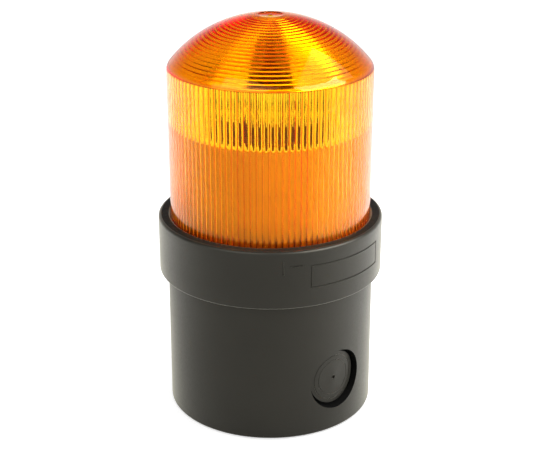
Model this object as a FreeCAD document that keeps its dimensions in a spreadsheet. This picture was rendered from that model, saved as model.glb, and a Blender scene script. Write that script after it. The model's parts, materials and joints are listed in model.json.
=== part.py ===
"""Flashing beacon, 70 mm class: a black surface-mount base and a twist-off amber head with a flash unit.

Frame: +Z up, origin at the centre of the mounting face, side cable entry towards -Y.
Lengths are in millimetres and angles in degrees. The head is modelled seated on the base and turned
to its open position; a clockwise turn locks it.
"""

import FreeCAD
import Part
import Sketcher
import math
import os

# Driving dimensions: alias, value, meaning. All sizes of the model are expressions of these cells.
SIZES = [
    ("base_foot_radius", 32.5, "outside of the base at the mounting face"),
    ("base_neck_radius", 32.3, "outside of the base just under the collar"),
    ("base_height", 44.6, "shoulder of the base"),
    ("base_wall", 2.6, "moulded wall of the base"),
    ("floor_thickness", 3.0, "floor of the base"),
    ("edge_round", 0.6, "rounded outer edges of the mouldings"),
    ("spigot_radius", 30.6, "spigot that the head fits over"),
    ("spigot_top", 53.0, "top of the spigot"),
    ("spigot_wall", 2.2, "wall of the spigot"),
    ("cable_hole_radius", 8.15, "cable hole in the floor"),
    ("fixing_hole_radius", 2.65, "M5 clearance holes"),
    ("fixing_spacing", 40.0, "between the two fixing holes"),
    ("fixing_boss_radius", 5.5, "bosses round the fixing holes"),
    ("boss_height", 3.0, "bosses above the floor"),
    ("gasket_inner", 27.0, "gasket groove in the mounting face, inner radius"),
    ("gasket_outer", 29.6, "gasket groove, outer radius"),
    ("gasket_depth", 1.5, "gasket groove depth"),
    ("gasket_play", 0.1, "room beside the gasket in its groove"),
    ("entry_height", 16.7, "axis of the side cable entry"),
    ("entry_radius", 9.65, "recess of the side cable entry"),
    ("entry_face_radius", 30.6, "curved face of the knock-out, from the beacon's axis"),
    ("entry_groove_radius", 29.7, "bottom of the break-out groove, from the beacon's axis"),
    ("entry_groove_width", 0.95, "break-out groove round the knock-out"),
    ("entry_score_radius", 5.9, "scored ring on the knock-out for a smaller gland"),
    ("entry_rim_radius", 7.4, "scored ring near the rim of the knock-out"),
    ("entry_score_width", 0.25, "scored rings"),
    ("entry_score_depth", 0.12, "scored rings"),
    ("entry_mark_radius", 0.6, "centre mark of the knock-out"),
    ("entry_pad_radius", 12.0, "flat pad inside for the gland nut"),
    ("entry_pad_face", 27.0, "flat pad, from the beacon's axis"),
    ("lug_radius", 32.6, "bayonet lugs on the spigot"),
    ("lug_bottom", 49.3, "underside of the lugs"),
    ("lug_top", 52.3, "top of the lugs"),
    ("lug_start", 149.0, "azimuth where the first lug starts, at its stop"),
    ("lug_arc", 28.0, "length of a lug"),
    ("stop_arc", 4.5, "stop under the end of a lug"),
    ("stop_bottom", 46.0, "underside of the stop"),
    ("hook_start", 180.0, "azimuth where the first collar hook starts, head open"),
    ("hook_arc", 22.0, "length of a hook"),
    ("hook_radius", 31.1, "inner radius of the hooks"),
    ("hook_bottom", 46.3, "underside of the hooks"),
    ("hook_top", 48.9, "top of the hooks"),
    ("collar_radius", 35.0, "outside of the collar: the 70 mm of this beacon class"),
    ("collar_bottom", 45.0, "lower edge of the collar"),
    ("collar_top", 63.2, "top of the collar"),
    ("collar_bore", 33.2, "inside of the collar skirt"),
    ("snap_radius", 33.9, "groove that holds the chassis flange"),
    ("snap_bottom", 55.5, "lower side of that groove"),
    ("snap_top", 57.7, "upper side of that groove"),
    ("seat_radius", 33.5, "seat of the lens flange"),
    ("lip_bottom", 60.6, "underside of the collar's lip over the lens flange"),
    ("lip_radius", 31.55, "bore of that lip"),
    ("label_start", -20.2, "label frame on the collar, azimuth of its left side from the cable entry"),
    ("label_end", 27.2, "label frame, azimuth of its right side from the cable entry"),
    ("label_bottom", 51.1, "label frame, lower line"),
    ("label_top", 58.4, "label frame, upper line"),
    ("tick_azimuth", -34.1, "alignment tick, azimuth from the cable entry"),
    ("tick_bottom", 55.8, "alignment tick, lower end"),
    ("tick_top", 60.1, "alignment tick, upper end"),
    ("dash_start", -30.3, "alignment dash, azimuth of its left end from the cable entry"),
    ("dash_end", -23.8, "alignment dash, azimuth of its right end from the cable entry"),
    ("dash_height", 58.4, "alignment dash"),
    ("engraving_width", 0.4, "engraved lines on the collar"),
    ("engraving_depth", 0.15, "depth of the engraved lines"),
    ("lens_radius", 31.2, "outside of the lens"),
    ("lens_wall", 1.6, "lens wall behind the ribs"),
    ("lens_flange_radius", 33.3, "flange that the collar holds"),
    ("lens_bottom", 58.6, "underside of the lens flange"),
    ("dome_radius", 39.6, "sphere of the dome"),
    ("lens_top", 125.2, "top of the dome"),
    ("dome_wall", 1.6, "dome wall behind the ring steps"),
    ("dome_edge_tangent", 0.52, "rounded edge between dome and wall, as a tangent length"),
    ("dome_edge_round", 1.5, "radius of that edge"),
    ("gate_radius", 3.6, "flat moulding gate on top of the dome"),
    ("gate_depth", 0.3, "depth of that flat below the dome"),
    ("gate_point_radius", 0.7, "moulding point in its middle"),
    ("rib_count", 108, "vertical ribs inside the lens wall"),
    ("rib_depth", 0.3, "how far a rib stands in"),
    ("rib_share", 0.94, "share of the pitch that a rib fills"),
    ("rib_root", 0.3, "how deep a rib is rooted in the wall"),
    ("rib_bottom", 59.4, "lower end of the ribs"),
    ("rib_top", 109.0, "upper end of the ribs"),
    ("ring_count", 21, "ring steps inside the dome"),
    ("ring_first", 8.4, "angle of the first step from the top"),
    ("ring_pitch", 2.03, "angle from step to step"),
    ("lens_seal_thickness", 1.0, "flat ring under the lens flange"),
    ("lens_seal_inner", 25.0, "inner radius of that ring"),
    ("chassis_radius", 24.5, "outside of the chassis drum"),
    ("chassis_wall", 1.6, "wall of the drum"),
    ("chassis_bottom", 54.0, "underside of the chassis flange"),
    ("chassis_bead_radius", 33.7, "snap bead of the flange"),
    ("chassis_flange_radius", 33.0, "flange under the bead"),
    ("chassis_rim", 90.2, "rim of the drum"),
    ("dish_height", 86.0, "flat middle of the reflector dish"),
    ("dish_radius", 10.0, "radius of that flat"),
    ("dish_rise", 4.0, "rise of the dish to the rim"),
    ("socket_hole", 6.5, "hole for the tube socket"),
    ("ring_groove_inner", 28.4, "groove for the head seal, inner radius"),
    ("ring_groove_depth", 1.0, "depth of that groove"),
    ("seal_section", 0.9, "half the section of the head seal"),
    ("seal_radius", 29.5, "centre line radius of the head seal"),
    ("seal_height", 54.0, "centre line height of the head seal"),
    ("post_radius", 19.3, "screw posts in the chassis, from the axis"),
    ("post_size", 6.4, "width of a post"),
    ("post_start", 90.0, "azimuth of the first post"),
    ("post_top", 87.6, "top of the posts, in the dish"),
    ("post_hole_depth", 11.2, "screw holes in the posts"),
    ("plate_radius", 27.2, "contact plate"),
    ("plate_thickness", 2.0, "contact plate"),
    ("plate_sleeve_radius", 3.3, "sleeves of the contact plate"),
    ("ear_radius", 3.0, "ears of the terminal block"),
    ("screw_hole", 1.6, "clearance for the chassis screws"),
    ("screw_radius", 1.45, "shank of the chassis screws"),
    ("screw_head_radius", 2.9, "head of the chassis screws"),
    ("screw_head_height", 1.1, "head of the chassis screws"),
    ("screw_length", 16.0, "shank of the chassis screws"),
    ("board_bottom", 60.0, "underside of the circuit board"),
    ("board_thickness", 1.6, "circuit board"),
    ("board_radius", 22.2, "circuit board"),
    ("track_radius", 14.9, "middle of the contact tracks"),
    ("track_width", 2.4, "contact tracks"),
    ("track_thickness", 0.4, "contact tracks"),
    ("track_arc", 37.0, "length of a contact track"),
    ("track_lead", 6.0, "track behind the spring, head open"),
    ("stud_radius", 1.2, "stud of a contact track"),
    ("way_pitch", 12.0, "between the two terminal ways"),
    ("block_front", 10.0, "front face of the terminal block"),
    ("block_back", 23.0, "back face of the terminal block"),
    ("block_width", 26.0, "terminal block"),
    ("block_top", 20.0, "top of the terminal block"),
    ("pillar_top", 46.0, "top of the contact pillar"),
    ("pillar_front", 18.0, "front face of the contact pillar"),
    ("pillar_width", 22.0, "contact pillar"),
    ("ear_screw_x", 17.0, "ear screws of the terminal block, to each side"),
    ("ear_screw_y", 17.0, "ear screws of the terminal block, towards the back"),
    ("ear_screw_head", 1.8, "head height of the ear screws"),
    ("ear_boss_radius", 3.6, "bosses under the ears"),
    ("pilot_radius", 1.3, "pilot holes of the ear screws"),
    ("cage_lift", 2.0, "wire cages above the block's underside"),
    ("cage_height", 8.6, "wire cages"),
    ("cage_length", 6.0, "wire cages, front to back"),
    ("cage_width", 6.8, "wire cages"),
    ("cage_wall", 1.0, "wire cages"),
    ("cage_window", 4.7, "opening for the wire"),
    ("cage_set_back", 4.0, "middle of the cages behind the block's front"),
    ("cage_play", 0.4, "room round the cages"),
    ("way_screw_core", 1.75, "thread of the clamping screws"),
    ("way_screw_head", 2.5, "head radius of the clamping screws"),
    ("way_screw_height", 2.0, "head height of the clamping screws"),
    ("way_screw_length", 4.3, "shank of the clamping screws"),
    ("way_screw_lift", 0.2, "clamping screws above their cages, as delivered"),
    ("thread_play", 0.05, "between a screw or stud and its hole"),
    ("seat_play", 0.2, "between pieces that slip together"),
    ("strip_thickness", 0.5, "contact springs"),
    ("strip_width", 4.0, "contact springs"),
    ("strip_loop", 4.0, "outer radius of the spring loop"),
    ("strip_loop_height", 48.95, "centre height of the spring loop"),
    ("strip_loop_arc", 150.0, "how far the loop turns over"),
    ("strip_inset", 0.35, "contact springs in front of the pillar"),
    ("socket_radius", 6.3, "tube socket"),
    ("socket_top", 92.2, "top of the tube socket"),
    ("socket_flange", 9.0, "flange of the tube socket"),
    ("socket_sleeve_radius", 3.2, "raised sleeves of the tube socket"),
    ("tube_radius", 2.1, "glass of the flash tube"),
    ("tube_bore", 1.5, "bore of the flash tube"),
    ("tube_half_pitch", 5.4, "legs of the flash tube, from the axis"),
    ("tube_turn", -39.8, "azimuth of the flash tube's plane"),
    ("tube_foot", 87.9, "lower ends of the flash tube"),
    ("tube_bend_height", 105.0, "where the legs of the flash tube turn over"),
    ("capacitor_radius", 6.25, "storage capacitor"),
    ("capacitor_height", 20.0, "storage capacitor"),
    ("can_groove", 0.6, "rolled groove of the capacitor can"),
    ("core_limb", 3.0, "outer limbs of the transformer core"),
    ("core_length", 14.0, "transformer core"),
    ("core_width", 13.0, "transformer core"),
    ("core_height", 14.0, "transformer core"),
    ("winding_gap", 0.15, "between winding and core"),
    ("winding_bulge", 1.6, "winding beyond the core, front and back"),
    ("coil_radius", 3.4, "trigger coil"),
    ("coil_cheek_radius", 4.4, "cheeks of the trigger coil"),
    ("coil_cheek", 1.2, "thickness of those cheeks"),
    ("coil_height", 12.0, "trigger coil"),
    ("transistor_width", 8.0, "power transistor, also its height"),
    ("transistor_depth", 3.4, "power transistor"),
    ("transistor_lift", 3.0, "power transistor above the board"),
    ("tab_height", 12.0, "metal tab of the transistor"),
    ("tab_thickness", 1.0, "metal tab of the transistor"),
    ("leg_pitch", 2.3, "legs of the transistor"),
    ("leg_width", 0.8, "legs of the transistor"),
    ("leg_depth", 0.6, "legs of the transistor"),
    ("resistor_length", 6.0, "resistors"),
    ("resistor_radius", 1.2, "resistors"),
    ("band_height", 2.0, "trigger bands"),
    ("band_lift", 3.0, "trigger bands above the socket"),
]

doc = FreeCAD.newDocument("flashing_beacon")
sheet = doc.addObject("Spreadsheet::Sheet", "Sizes")
for row, (alias, number, meaning) in enumerate(SIZES, start=1):
    sheet.set(f"A{row}", meaning)
    sheet.set(f"B{row}", str(number))
    sheet.setAlias(f"B{row}", alias)
doc.recompute()


class Size:
    """A length or an angle: its number, and the sheet expression that gives it."""

    def __init__(self, number, text=None):
        self.number = number
        self.text = text if text is not None else repr(number)

    def __add__(self, other):
        return joined(self, "+", other)

    def __radd__(self, other):
        return joined(other, "+", self)

    def __sub__(self, other):
        return joined(self, "-", other)

    def __rsub__(self, other):
        return joined(other, "-", self)

    def __mul__(self, other):
        return joined(self, "*", other)

    def __rmul__(self, other):
        return joined(other, "*", self)

    def __truediv__(self, other):
        return joined(self, "/", other)

    def __rtruediv__(self, other):
        return joined(other, "/", self)

    def __neg__(self):
        return joined(0, "-", self)


def as_size(thing):
    return thing if isinstance(thing, Size) else Size(thing)


def joined(left, sign, right):
    """The two sizes joined by an arithmetic sign, as a number and as an expression."""
    a, b = as_size(left), as_size(right)
    number = {
        "+": lambda: a.number + b.number,
        "-": lambda: a.number - b.number,
        "*": lambda: a.number * b.number,
        "/": lambda: a.number / b.number,
    }[sign]()
    return Size(number, f"({a.text} {sign} {b.text})")


def sine(angle):
    return Size(math.sin(math.radians(as_size(angle).number)), f"sin({as_size(angle).text})")


def cosine(angle):
    return Size(math.cos(math.radians(as_size(angle).number)), f"cos({as_size(angle).text})")


def root(size):
    return Size(math.sqrt(size.number), f"sqrt({size.text})")


def polar(radius, angle):
    return radius * cosine(angle), radius * sine(angle)


S = {alias: Size(number, f"Sizes.{alias}") for alias, number, _ in SIZES}
CIRCLE_START, CIRCLE_END, CIRCLE_CENTRE = 1, 2, 3
ORIGIN, ACROSS, UPRIGHT = -1, -1, -2
FULL_TURN = 360
TRIPLE = 3


# Sketch helpers: every point is tied to the sheet


def origin_feature(body, role):
    return next(f for f in body.Origin.OriginFeatures if f.Role == role)


def new_body(label):
    body = doc.addObject("PartDesign::Body", label)
    body.Label = label
    return body


def new_sketch(body, name, role, lift=None):
    """A sketch on an origin plane of the body, lifted along the plane's normal."""
    sketch = body.newObject("Sketcher::SketchObject", name)
    sketch.AttachmentSupport = [(origin_feature(body, role), "")]
    sketch.MapMode = "FlatFace"
    if lift is not None:
        sketch.setExpression("AttachmentOffset.Base.z", as_size(lift).text)
    return sketch


def pin_point(sketch, geometry, end, point):
    """Ties one end of a geometry to a point given as two sizes."""
    for kind, axis, size in (("DistanceX", UPRIGHT, point[0]), ("DistanceY", ACROSS, point[1])):
        size = as_size(size)
        if size.number == 0:
            sketch.addConstraint(Sketcher.Constraint("PointOnObject", geometry, end, axis))
            continue
        index = sketch.addConstraint(Sketcher.Constraint(kind, ORIGIN, 1, geometry, end, size.number))
        sketch.setExpression(f"Constraints[{index}]", size.text)


def vector(point):
    return FreeCAD.Vector(as_size(point[0]).number, as_size(point[1]).number, 0)


def arc_between(start, end, radius):
    """The arc from start to end, and if it runs backwards; a negative radius turns right."""
    a, b = vector(start), vector(end)
    size = abs(radius.number)
    chord = b - a
    middle = (a + b) * 0.5
    height = math.sqrt(max(size**2 - (chord.Length / 2) ** 2, 0))
    left = FreeCAD.Vector(-chord.y, chord.x, 0).normalize()
    backwards = radius.number < 0
    centre = middle - left * height if backwards else middle + left * height
    first, last = (b, a) if backwards else (a, b)
    angles = [math.atan2(p.y - centre.y, p.x - centre.x) for p in (first, last)]
    circle = Part.Circle(centre, FreeCAD.Vector(0, 0, 1), size)
    return Part.ArcOfCircle(circle, *angles), backwards


def outline(sketch, corners, arcs=None):
    """A closed outline through the corners; arcs gives the radius of each curved side by its number."""
    arcs = arcs or {}
    ends = []
    first = sketch.GeometryCount
    for side, start in enumerate(corners):
        end = corners[(side + 1) % len(corners)]
        if side in arcs:
            shape, backwards = arc_between(start, end, as_size(arcs[side]))
        else:
            shape, backwards = Part.LineSegment(vector(start), vector(end)), False
        sketch.addGeometry(shape, False)
        ends.append((CIRCLE_END, CIRCLE_START) if backwards else (CIRCLE_START, CIRCLE_END))
    links = []
    for side in range(len(corners)):
        after = (side + 1) % len(corners)
        joint = (first + side, ends[side][1], first + after, ends[after][0])
        links.append(Sketcher.Constraint("Coincident", *joint))
    sketch.addConstraint(links)
    for side, corner in enumerate(corners):
        pin_point(sketch, first + side, ends[side][0], corner)
    for side, radius in arcs.items():
        size = as_size(radius)
        text = f"abs({size.text})"
        index = sketch.addConstraint(Sketcher.Constraint("Radius", first + side, abs(size.number)))
        sketch.setExpression(f"Constraints[{index}]", text)


def circle(sketch, centre, radius):
    middle = vector(centre)
    index = sketch.addGeometry(Part.Circle(middle, FreeCAD.Vector(0, 0, 1), radius.number), False)
    pin_point(sketch, index, CIRCLE_CENTRE, centre)
    held = sketch.addConstraint(Sketcher.Constraint("Radius", index, radius.number))
    sketch.setExpression(f"Constraints[{held}]", radius.text)


def ring_sector(sketch, inner, outer, start, arc):
    """A sector of a ring between two radii, from the start azimuth over the arc."""
    end = start + arc
    corners = [polar(inner, start), polar(outer, start), polar(outer, end), polar(inner, end)]
    outline(sketch, corners, {1: outer, 3: -inner})


# Feature helpers


def revolve(body, name, corners, arcs=None):
    """Turns a half section, drawn in the XZ plane, about the Z axis."""
    sketch = new_sketch(body, name + "_section", "XZ_Plane")
    outline(sketch, corners, arcs)
    feature = body.newObject("PartDesign::Revolution", name)
    feature.Profile = sketch
    feature.ReferenceAxis = (sketch, ["V_Axis"])
    feature.Angle = FULL_TURN
    return feature


def pad(body, sketch, name, length):
    feature = body.newObject("PartDesign::Pad", name)
    feature.Profile = sketch
    feature.setExpression("Length", length.text)
    return feature


def pocket(body, sketch, name, depth, upwards=False):
    """Cuts against the sketch's normal, or along it when upwards, and checks that it cuts."""
    doc.recompute()
    before = body.Shape.Volume
    feature = body.newObject("PartDesign::Pocket", name)
    feature.Profile = sketch
    feature.Reversed = upwards
    feature.setExpression("Length", depth.text)
    doc.recompute()
    if not body.Shape.Volume < before:
        raise RuntimeError(f"{name} cuts nothing")
    return feature


def around_axis(body, name, features, count):
    """Repeats features evenly about the Z axis."""
    pattern = body.newObject("PartDesign::PolarPattern", name)
    pattern.Originals = features
    pattern.Axis = (origin_feature(body, "Z_Axis"), [""])
    pattern.Angle = FULL_TURN
    pattern.setExpression("Occurrences", as_size(count).text)
    body.Tip = pattern
    return pattern


# Solid helpers: primitives and booleans with sizes from the sheet

ALONG = {
    "+Z": FreeCAD.Rotation(),
    "-Y": FreeCAD.Rotation(FreeCAD.Vector(1, 0, 0), 90),
    "+X": FreeCAD.Rotation(FreeCAD.Vector(0, 1, 0), 90),
}


def bind(thing, **sizes):
    for name, size in sizes.items():
        thing.setExpression(name, as_size(size).text)
    return thing


def set_at(thing, place, direction="+Z"):
    thing.Placement = FreeCAD.Placement(FreeCAD.Vector(), ALONG[direction])
    for axis, size in zip("xyz", place):
        thing.setExpression(f"Placement.Base.{axis}", as_size(size).text)
    return thing


def cylinder(name, place, radius, height, direction="+Z"):
    made = bind(doc.addObject("Part::Cylinder", name), Radius=radius, Height=height)
    return set_at(made, place, direction)


def wedge_of_disc(name, radius, bottom, height, start, arc):
    """A sector of a disc about the Z axis."""
    made = bind(doc.addObject("Part::Cylinder", name), Radius=radius, Height=height, Angle=arc)
    set_at(made, (0, 0, bottom))
    made.setExpression("Placement.Rotation.Angle", as_size(start).text)
    return made


def box(name, low, size):
    length, width, height = size
    made = bind(doc.addObject("Part::Box", name), Length=length, Width=width, Height=height)
    return set_at(made, low)


def fuse(name, shapes):
    made = doc.addObject("Part::MultiFuse", name)
    made.Shapes = shapes
    return made


def cut(name, base, tools):
    made = doc.addObject("Part::Cut", name)
    made.Base = base
    made.Tool = tools[0] if len(tools) == 1 else fuse(name + "_tools", tools)
    return made


def group(name, shapes):
    made = doc.addObject("Part::Compound", name)
    made.Links = shapes
    return made


def tube(name, place, outer, inner, height, direction="+Z"):
    """A plain ring or sleeve."""
    return cut(
        name,
        cylinder(name + "_outside", place, outer, height, direction),
        [cylinder(name + "_bore", place, inner, height, direction)],
    )


PARTS = []


def finished(thing, label):
    thing.Label = label
    PARTS.append(thing)
    return thing


# Base unit


def base_housing():
    """Moulded cup with a floor, a spigot with bayonet lugs, and a knock-out for a side cable entry."""
    body = new_body("base_shell")
    foot_inside = S["base_foot_radius"] - S["base_wall"]
    neck_inside = S["base_neck_radius"] - S["base_wall"]
    spigot_inside = S["spigot_radius"] - S["spigot_wall"]
    step = S["base_height"] - S["base_wall"] * 0.5
    corners = [
        (S["cable_hole_radius"], 0),
        (S["gasket_inner"], 0),
        (S["gasket_inner"], S["gasket_depth"]),
        (S["gasket_outer"], S["gasket_depth"]),
        (S["gasket_outer"], 0),
        (S["base_foot_radius"] - S["edge_round"], 0),
        (S["base_foot_radius"], S["edge_round"]),
        (S["base_neck_radius"], S["base_height"] - S["edge_round"]),
        (S["base_neck_radius"] - S["edge_round"], S["base_height"]),
        (S["spigot_radius"], S["base_height"]),
        (S["spigot_radius"], S["spigot_top"] - S["edge_round"]),
        (S["spigot_radius"] - S["edge_round"], S["spigot_top"]),
        (spigot_inside, S["spigot_top"]),
        (spigot_inside, step),
        (neck_inside, step - (neck_inside - spigot_inside)),
        (foot_inside, S["floor_thickness"]),
        (S["cable_hole_radius"], S["floor_thickness"]),
    ]
    revolve(body, "cup", corners, {5: S["edge_round"], 7: S["edge_round"]})

    overlap = S["edge_round"]
    lug = new_sketch(body, "lug_outline", "XY_Plane", S["lug_bottom"])
    ring_sector(lug, S["spigot_radius"] - overlap, S["lug_radius"], S["lug_start"], S["lug_arc"])
    lug_pad = pad(body, lug, "lug", S["lug_top"] - S["lug_bottom"])
    stop = new_sketch(body, "stop_outline", "XY_Plane", S["stop_bottom"])
    ring_sector(stop, S["spigot_radius"] - overlap, S["lug_radius"], S["lug_start"], S["stop_arc"])
    stop_pad = pad(body, stop, "stop", S["lug_bottom"] - S["stop_bottom"])
    around_axis(body, "bayonet", [lug_pad, stop_pad], TRIPLE)

    entry = new_sketch(body, "entry_pad_outline", "XZ_Plane", S["entry_pad_face"])
    circle(entry, (0, S["entry_height"]), S["entry_pad_radius"])
    pad(body, entry, "entry_pad", S["base_wall"])

    fixing = S["fixing_spacing"] / 2
    bosses = new_sketch(body, "boss_outline", "XY_Plane", S["floor_thickness"] - overlap)
    for side in (-1, 1):
        circle(bosses, (fixing * side, 0), S["fixing_boss_radius"])
        circle(bosses, (S["ear_screw_x"] * side, S["ear_screw_y"]), S["ear_boss_radius"])
    pad(body, bosses, "bosses", S["boss_height"] + overlap)
    holes = new_sketch(body, "fixing_holes_outline", "XY_Plane")
    for side in (-1, 1):
        circle(holes, (fixing * side, 0), S["fixing_hole_radius"])
    pocket(body, holes, "fixing_holes", S["floor_thickness"] + S["boss_height"], upwards=True)
    boss_top = S["floor_thickness"] + S["boss_height"]
    pilots = new_sketch(body, "pilot_holes_outline", "XY_Plane", boss_top)
    for side in (-1, 1):
        circle(pilots, (S["ear_screw_x"] * side, S["ear_screw_y"]), S["pilot_radius"])
    pocket(body, pilots, "pilot_holes", boss_top - S["gasket_depth"])

    return finished(cut("base_cut", body, knockout_tools()), "base_housing")


def ring_in_entry(name, radius, width, floor_radius):
    """A groove round the axis of the side entry, down to a radius from the beacon's axis."""
    start = (0, -S["entry_pad_face"], S["entry_height"])
    ring = tube(name + "_ring", start, radius, radius - width, S["base_wall"] * 3, "-Y")
    return cut(name, ring, [cylinder(name + "_floor", (0, 0, 0), floor_radius, S["base_height"])])


def knockout_tools():
    """Cutters for the side entry: the recess down to its curved face, its grooves and a centre mark."""
    start = (0, -S["entry_pad_face"], S["entry_height"])
    recess = cut(
        "entry_recess",
        cylinder("entry_recess_drill", start, S["entry_radius"], S["base_wall"] * 3, "-Y"),
        [cylinder("entry_face", (0, 0, 0), S["entry_face_radius"], S["base_height"])],
    )
    groove_floor = S["entry_groove_radius"]
    score_floor = S["entry_face_radius"] - S["entry_score_depth"]
    score = S["entry_score_width"]
    grooves = [
        ring_in_entry("entry_groove", S["entry_radius"], S["entry_groove_width"], groove_floor),
        ring_in_entry("entry_score", S["entry_score_radius"], score, score_floor),
        ring_in_entry("entry_rim_score", S["entry_rim_radius"], score, score_floor),
    ]
    mark_start = (0, -S["entry_face_radius"] + S["entry_mark_radius"], S["entry_height"])
    mark = cylinder("entry_mark", mark_start, S["entry_mark_radius"], S["base_wall"], "-Y")
    return [recess, *grooves, mark]


def base_gasket():
    """Foam ring in the mounting face."""
    outer = S["gasket_outer"] - S["gasket_play"]
    inner = S["gasket_inner"] + S["gasket_play"]
    return finished(tube("gasket", (0, 0, 0), outer, inner, S["gasket_depth"]), "base_gasket")


BLOCK_BOTTOM = S["floor_thickness"] + S["boss_height"]
CAGE_BOTTOM = BLOCK_BOTTOM + S["cage_lift"]
CAGE_MIDDLE = S["block_front"] + S["cage_set_back"]
STRIP_BACK = S["pillar_front"] - S["strip_inset"]


def way_positions():
    return [S["way_pitch"] * share for share in (-0.5, 0.5)]


def terminal_block():
    """Two-way screw terminal with fixing ears and a pillar that carries the contact springs."""
    bottom = BLOCK_BOTTOM
    ear_height = S["boss_height"]
    depth = S["block_back"] - S["block_front"]
    body = box(
        "block_body",
        (S["block_width"] * -0.5, S["block_front"], bottom),
        (S["block_width"], depth, S["block_top"] - bottom),
    )
    ear_side = S["ear_screw_x"] + S["ear_radius"]
    ears = box(
        "block_ears",
        (-ear_side, S["ear_screw_y"] - S["ear_radius"], bottom),
        (ear_side * 2, S["ear_radius"] * 2, ear_height),
    )
    pillar = box(
        "block_pillar",
        (S["pillar_width"] * -0.5, S["pillar_front"], bottom),
        (S["pillar_width"], S["block_back"] - S["pillar_front"], S["pillar_top"] - bottom),
    )
    tools = []
    for side, x in zip(("left", "right"), way_positions()):
        tools += way_cutters(side, x)
    for side in (-1, 1):
        place = (S["ear_screw_x"] * side, S["ear_screw_y"], bottom)
        tools.append(cylinder("ear_hole", place, S["screw_hole"], ear_height))
    block = cut("block_cut", fuse("block_solid", [body, ears, pillar]), tools)
    return finished(block, "terminal_block")


def way_cutters(side, x):
    """The cage pocket, the screwdriver hole and the spring slot of one terminal way."""
    play = S["cage_play"]
    above = S["block_top"] - CAGE_BOTTOM
    cage = box(
        f"{side}_cage_pocket",
        (x - S["strip_width"], S["block_front"], CAGE_BOTTOM - play),
        (S["strip_width"] * 2, S["pillar_front"] - S["block_front"], S["cage_height"] + play * 2),
    )
    driver_start = (x, CAGE_MIDDLE, CAGE_BOTTOM)
    driver = cylinder(f"{side}_driver_hole", driver_start, S["screw_head_radius"], above)
    slot_half = S["strip_width"] / 2 + play
    slot = box(
        f"{side}_spring_slot",
        (x - slot_half, STRIP_BACK - S["strip_thickness"] - play, CAGE_BOTTOM),
        (slot_half * 2, S["strip_thickness"] + play * 2, above),
    )
    return [cage, driver, slot]


def terminal_clamps():
    """Brass wire cages, open front to back, with a hole for the screw."""
    cages = []
    length, width, wall = S["cage_length"], S["cage_width"], S["cage_wall"]
    for side, x in zip(("left", "right"), way_positions()):
        low = (x - width / 2, CAGE_MIDDLE - length / 2, CAGE_BOTTOM)
        block = box(f"{side}_cage_block", low, (width, length, S["cage_height"]))
        window = box(
            f"{side}_cage_window",
            (low[0] + wall, low[1], CAGE_BOTTOM + wall),
            (width - wall * 2, length, S["cage_window"]),
        )
        thread_start = (x, CAGE_MIDDLE, CAGE_BOTTOM + wall)
        thread = cylinder(f"{side}_cage_thread", thread_start, S["way_screw_core"], S["cage_height"])
        cages.append(cut(f"{side}_cage", block, [window, thread]))
    return finished(group("cages", cages), "terminal_clamps")


SLOT_SHARE = 0.3
SLOT_FLOOR = 0.6


def slotted_screw(name, place, head_radius, head_height, shank_radius, shank_length):
    """A screw that points down, with its head standing on the given place."""
    x, y, seat = place
    head = cylinder(name + "_head", place, head_radius, head_height)
    shank_start = (x, y, seat - shank_length)
    shank = cylinder(name + "_shank", shank_start, shank_radius, shank_length + head_height / 2)
    slot_width = head_radius * SLOT_SHARE
    slot = box(
        name + "_slot",
        (x - head_radius, y - slot_width / 2, seat + head_height * SLOT_FLOOR),
        (head_radius * 2, slot_width, head_height),
    )
    return cut(name, fuse(name + "_solid", [head, shank]), [slot])


def terminal_screws():
    """Clamping screws of the two ways."""
    seat = CAGE_BOTTOM + S["cage_height"] + S["way_screw_lift"]
    screws = [
        slotted_screw(
            f"way_screw_{number}",
            (x, CAGE_MIDDLE, seat),
            S["way_screw_head"],
            S["way_screw_height"],
            S["way_screw_core"] - S["thread_play"],
            S["way_screw_length"],
        )
        for number, x in enumerate(way_positions())
    ]
    return finished(group("way_screws", screws), "terminal_screws")


def ear_screws():
    """Screws that hold the terminal block on its bosses."""
    seat = BLOCK_BOTTOM + S["boss_height"]
    screws = [
        slotted_screw(
            f"ear_screw_{number}",
            (S["ear_screw_x"] * side, S["ear_screw_y"], seat),
            S["screw_head_radius"],
            S["ear_screw_head"],
            S["pilot_radius"] - S["thread_play"],
            S["boss_height"] * 2,
        )
        for number, side in enumerate((-1, 1))
    ]
    return finished(group("ear_screw_pair", screws), "terminal_block_screws")


def contact_springs():
    """Bronze strips from the cages up the pillar, each ending in a sprung loop under a contact track."""
    springs = []
    for side, x in zip(("left", "right"), way_positions()):
        body = new_body(f"{side}_spring")
        sketch = new_sketch(body, f"{side}_spring_outline", "YZ_Plane", x - S["strip_width"] / 2)
        front = STRIP_BACK - S["strip_thickness"]
        inner = S["strip_loop"] - S["strip_thickness"]
        centre = STRIP_BACK - S["strip_loop"]
        height = S["strip_loop_height"]
        foot = CAGE_BOTTOM + S["cage_wall"]
        tips = [polar(radius, S["strip_loop_arc"]) for radius in (S["strip_loop"], inner)]
        corners = [
            (front, foot),
            (STRIP_BACK, foot),
            (STRIP_BACK, height),
            *[(centre + across, height + up) for across, up in tips],
            (front, height),
        ]
        outline(sketch, corners, {2: S["strip_loop"], 4: -inner})
        pad(body, sketch, f"{side}_spring_strip", S["strip_width"])
        springs.append(body)
    return finished(group("springs", springs), "contact_springs")


# Head unit


def head_seal():
    """Seal ring between the spigot and the head, its section a square with broken corners."""
    body = new_body("seal_ring")
    half = S["seal_section"]
    flat = half / 2
    offsets = [(flat, -half), (half, -flat), (half, flat), (flat, half)]
    offsets += [(-across, -up) for across, up in offsets]
    corners = [(S["seal_radius"] + across, S["seal_height"] + up) for across, up in offsets]
    revolve(body, "seal_section_turned", corners)
    return finished(body, "head_seal")


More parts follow.
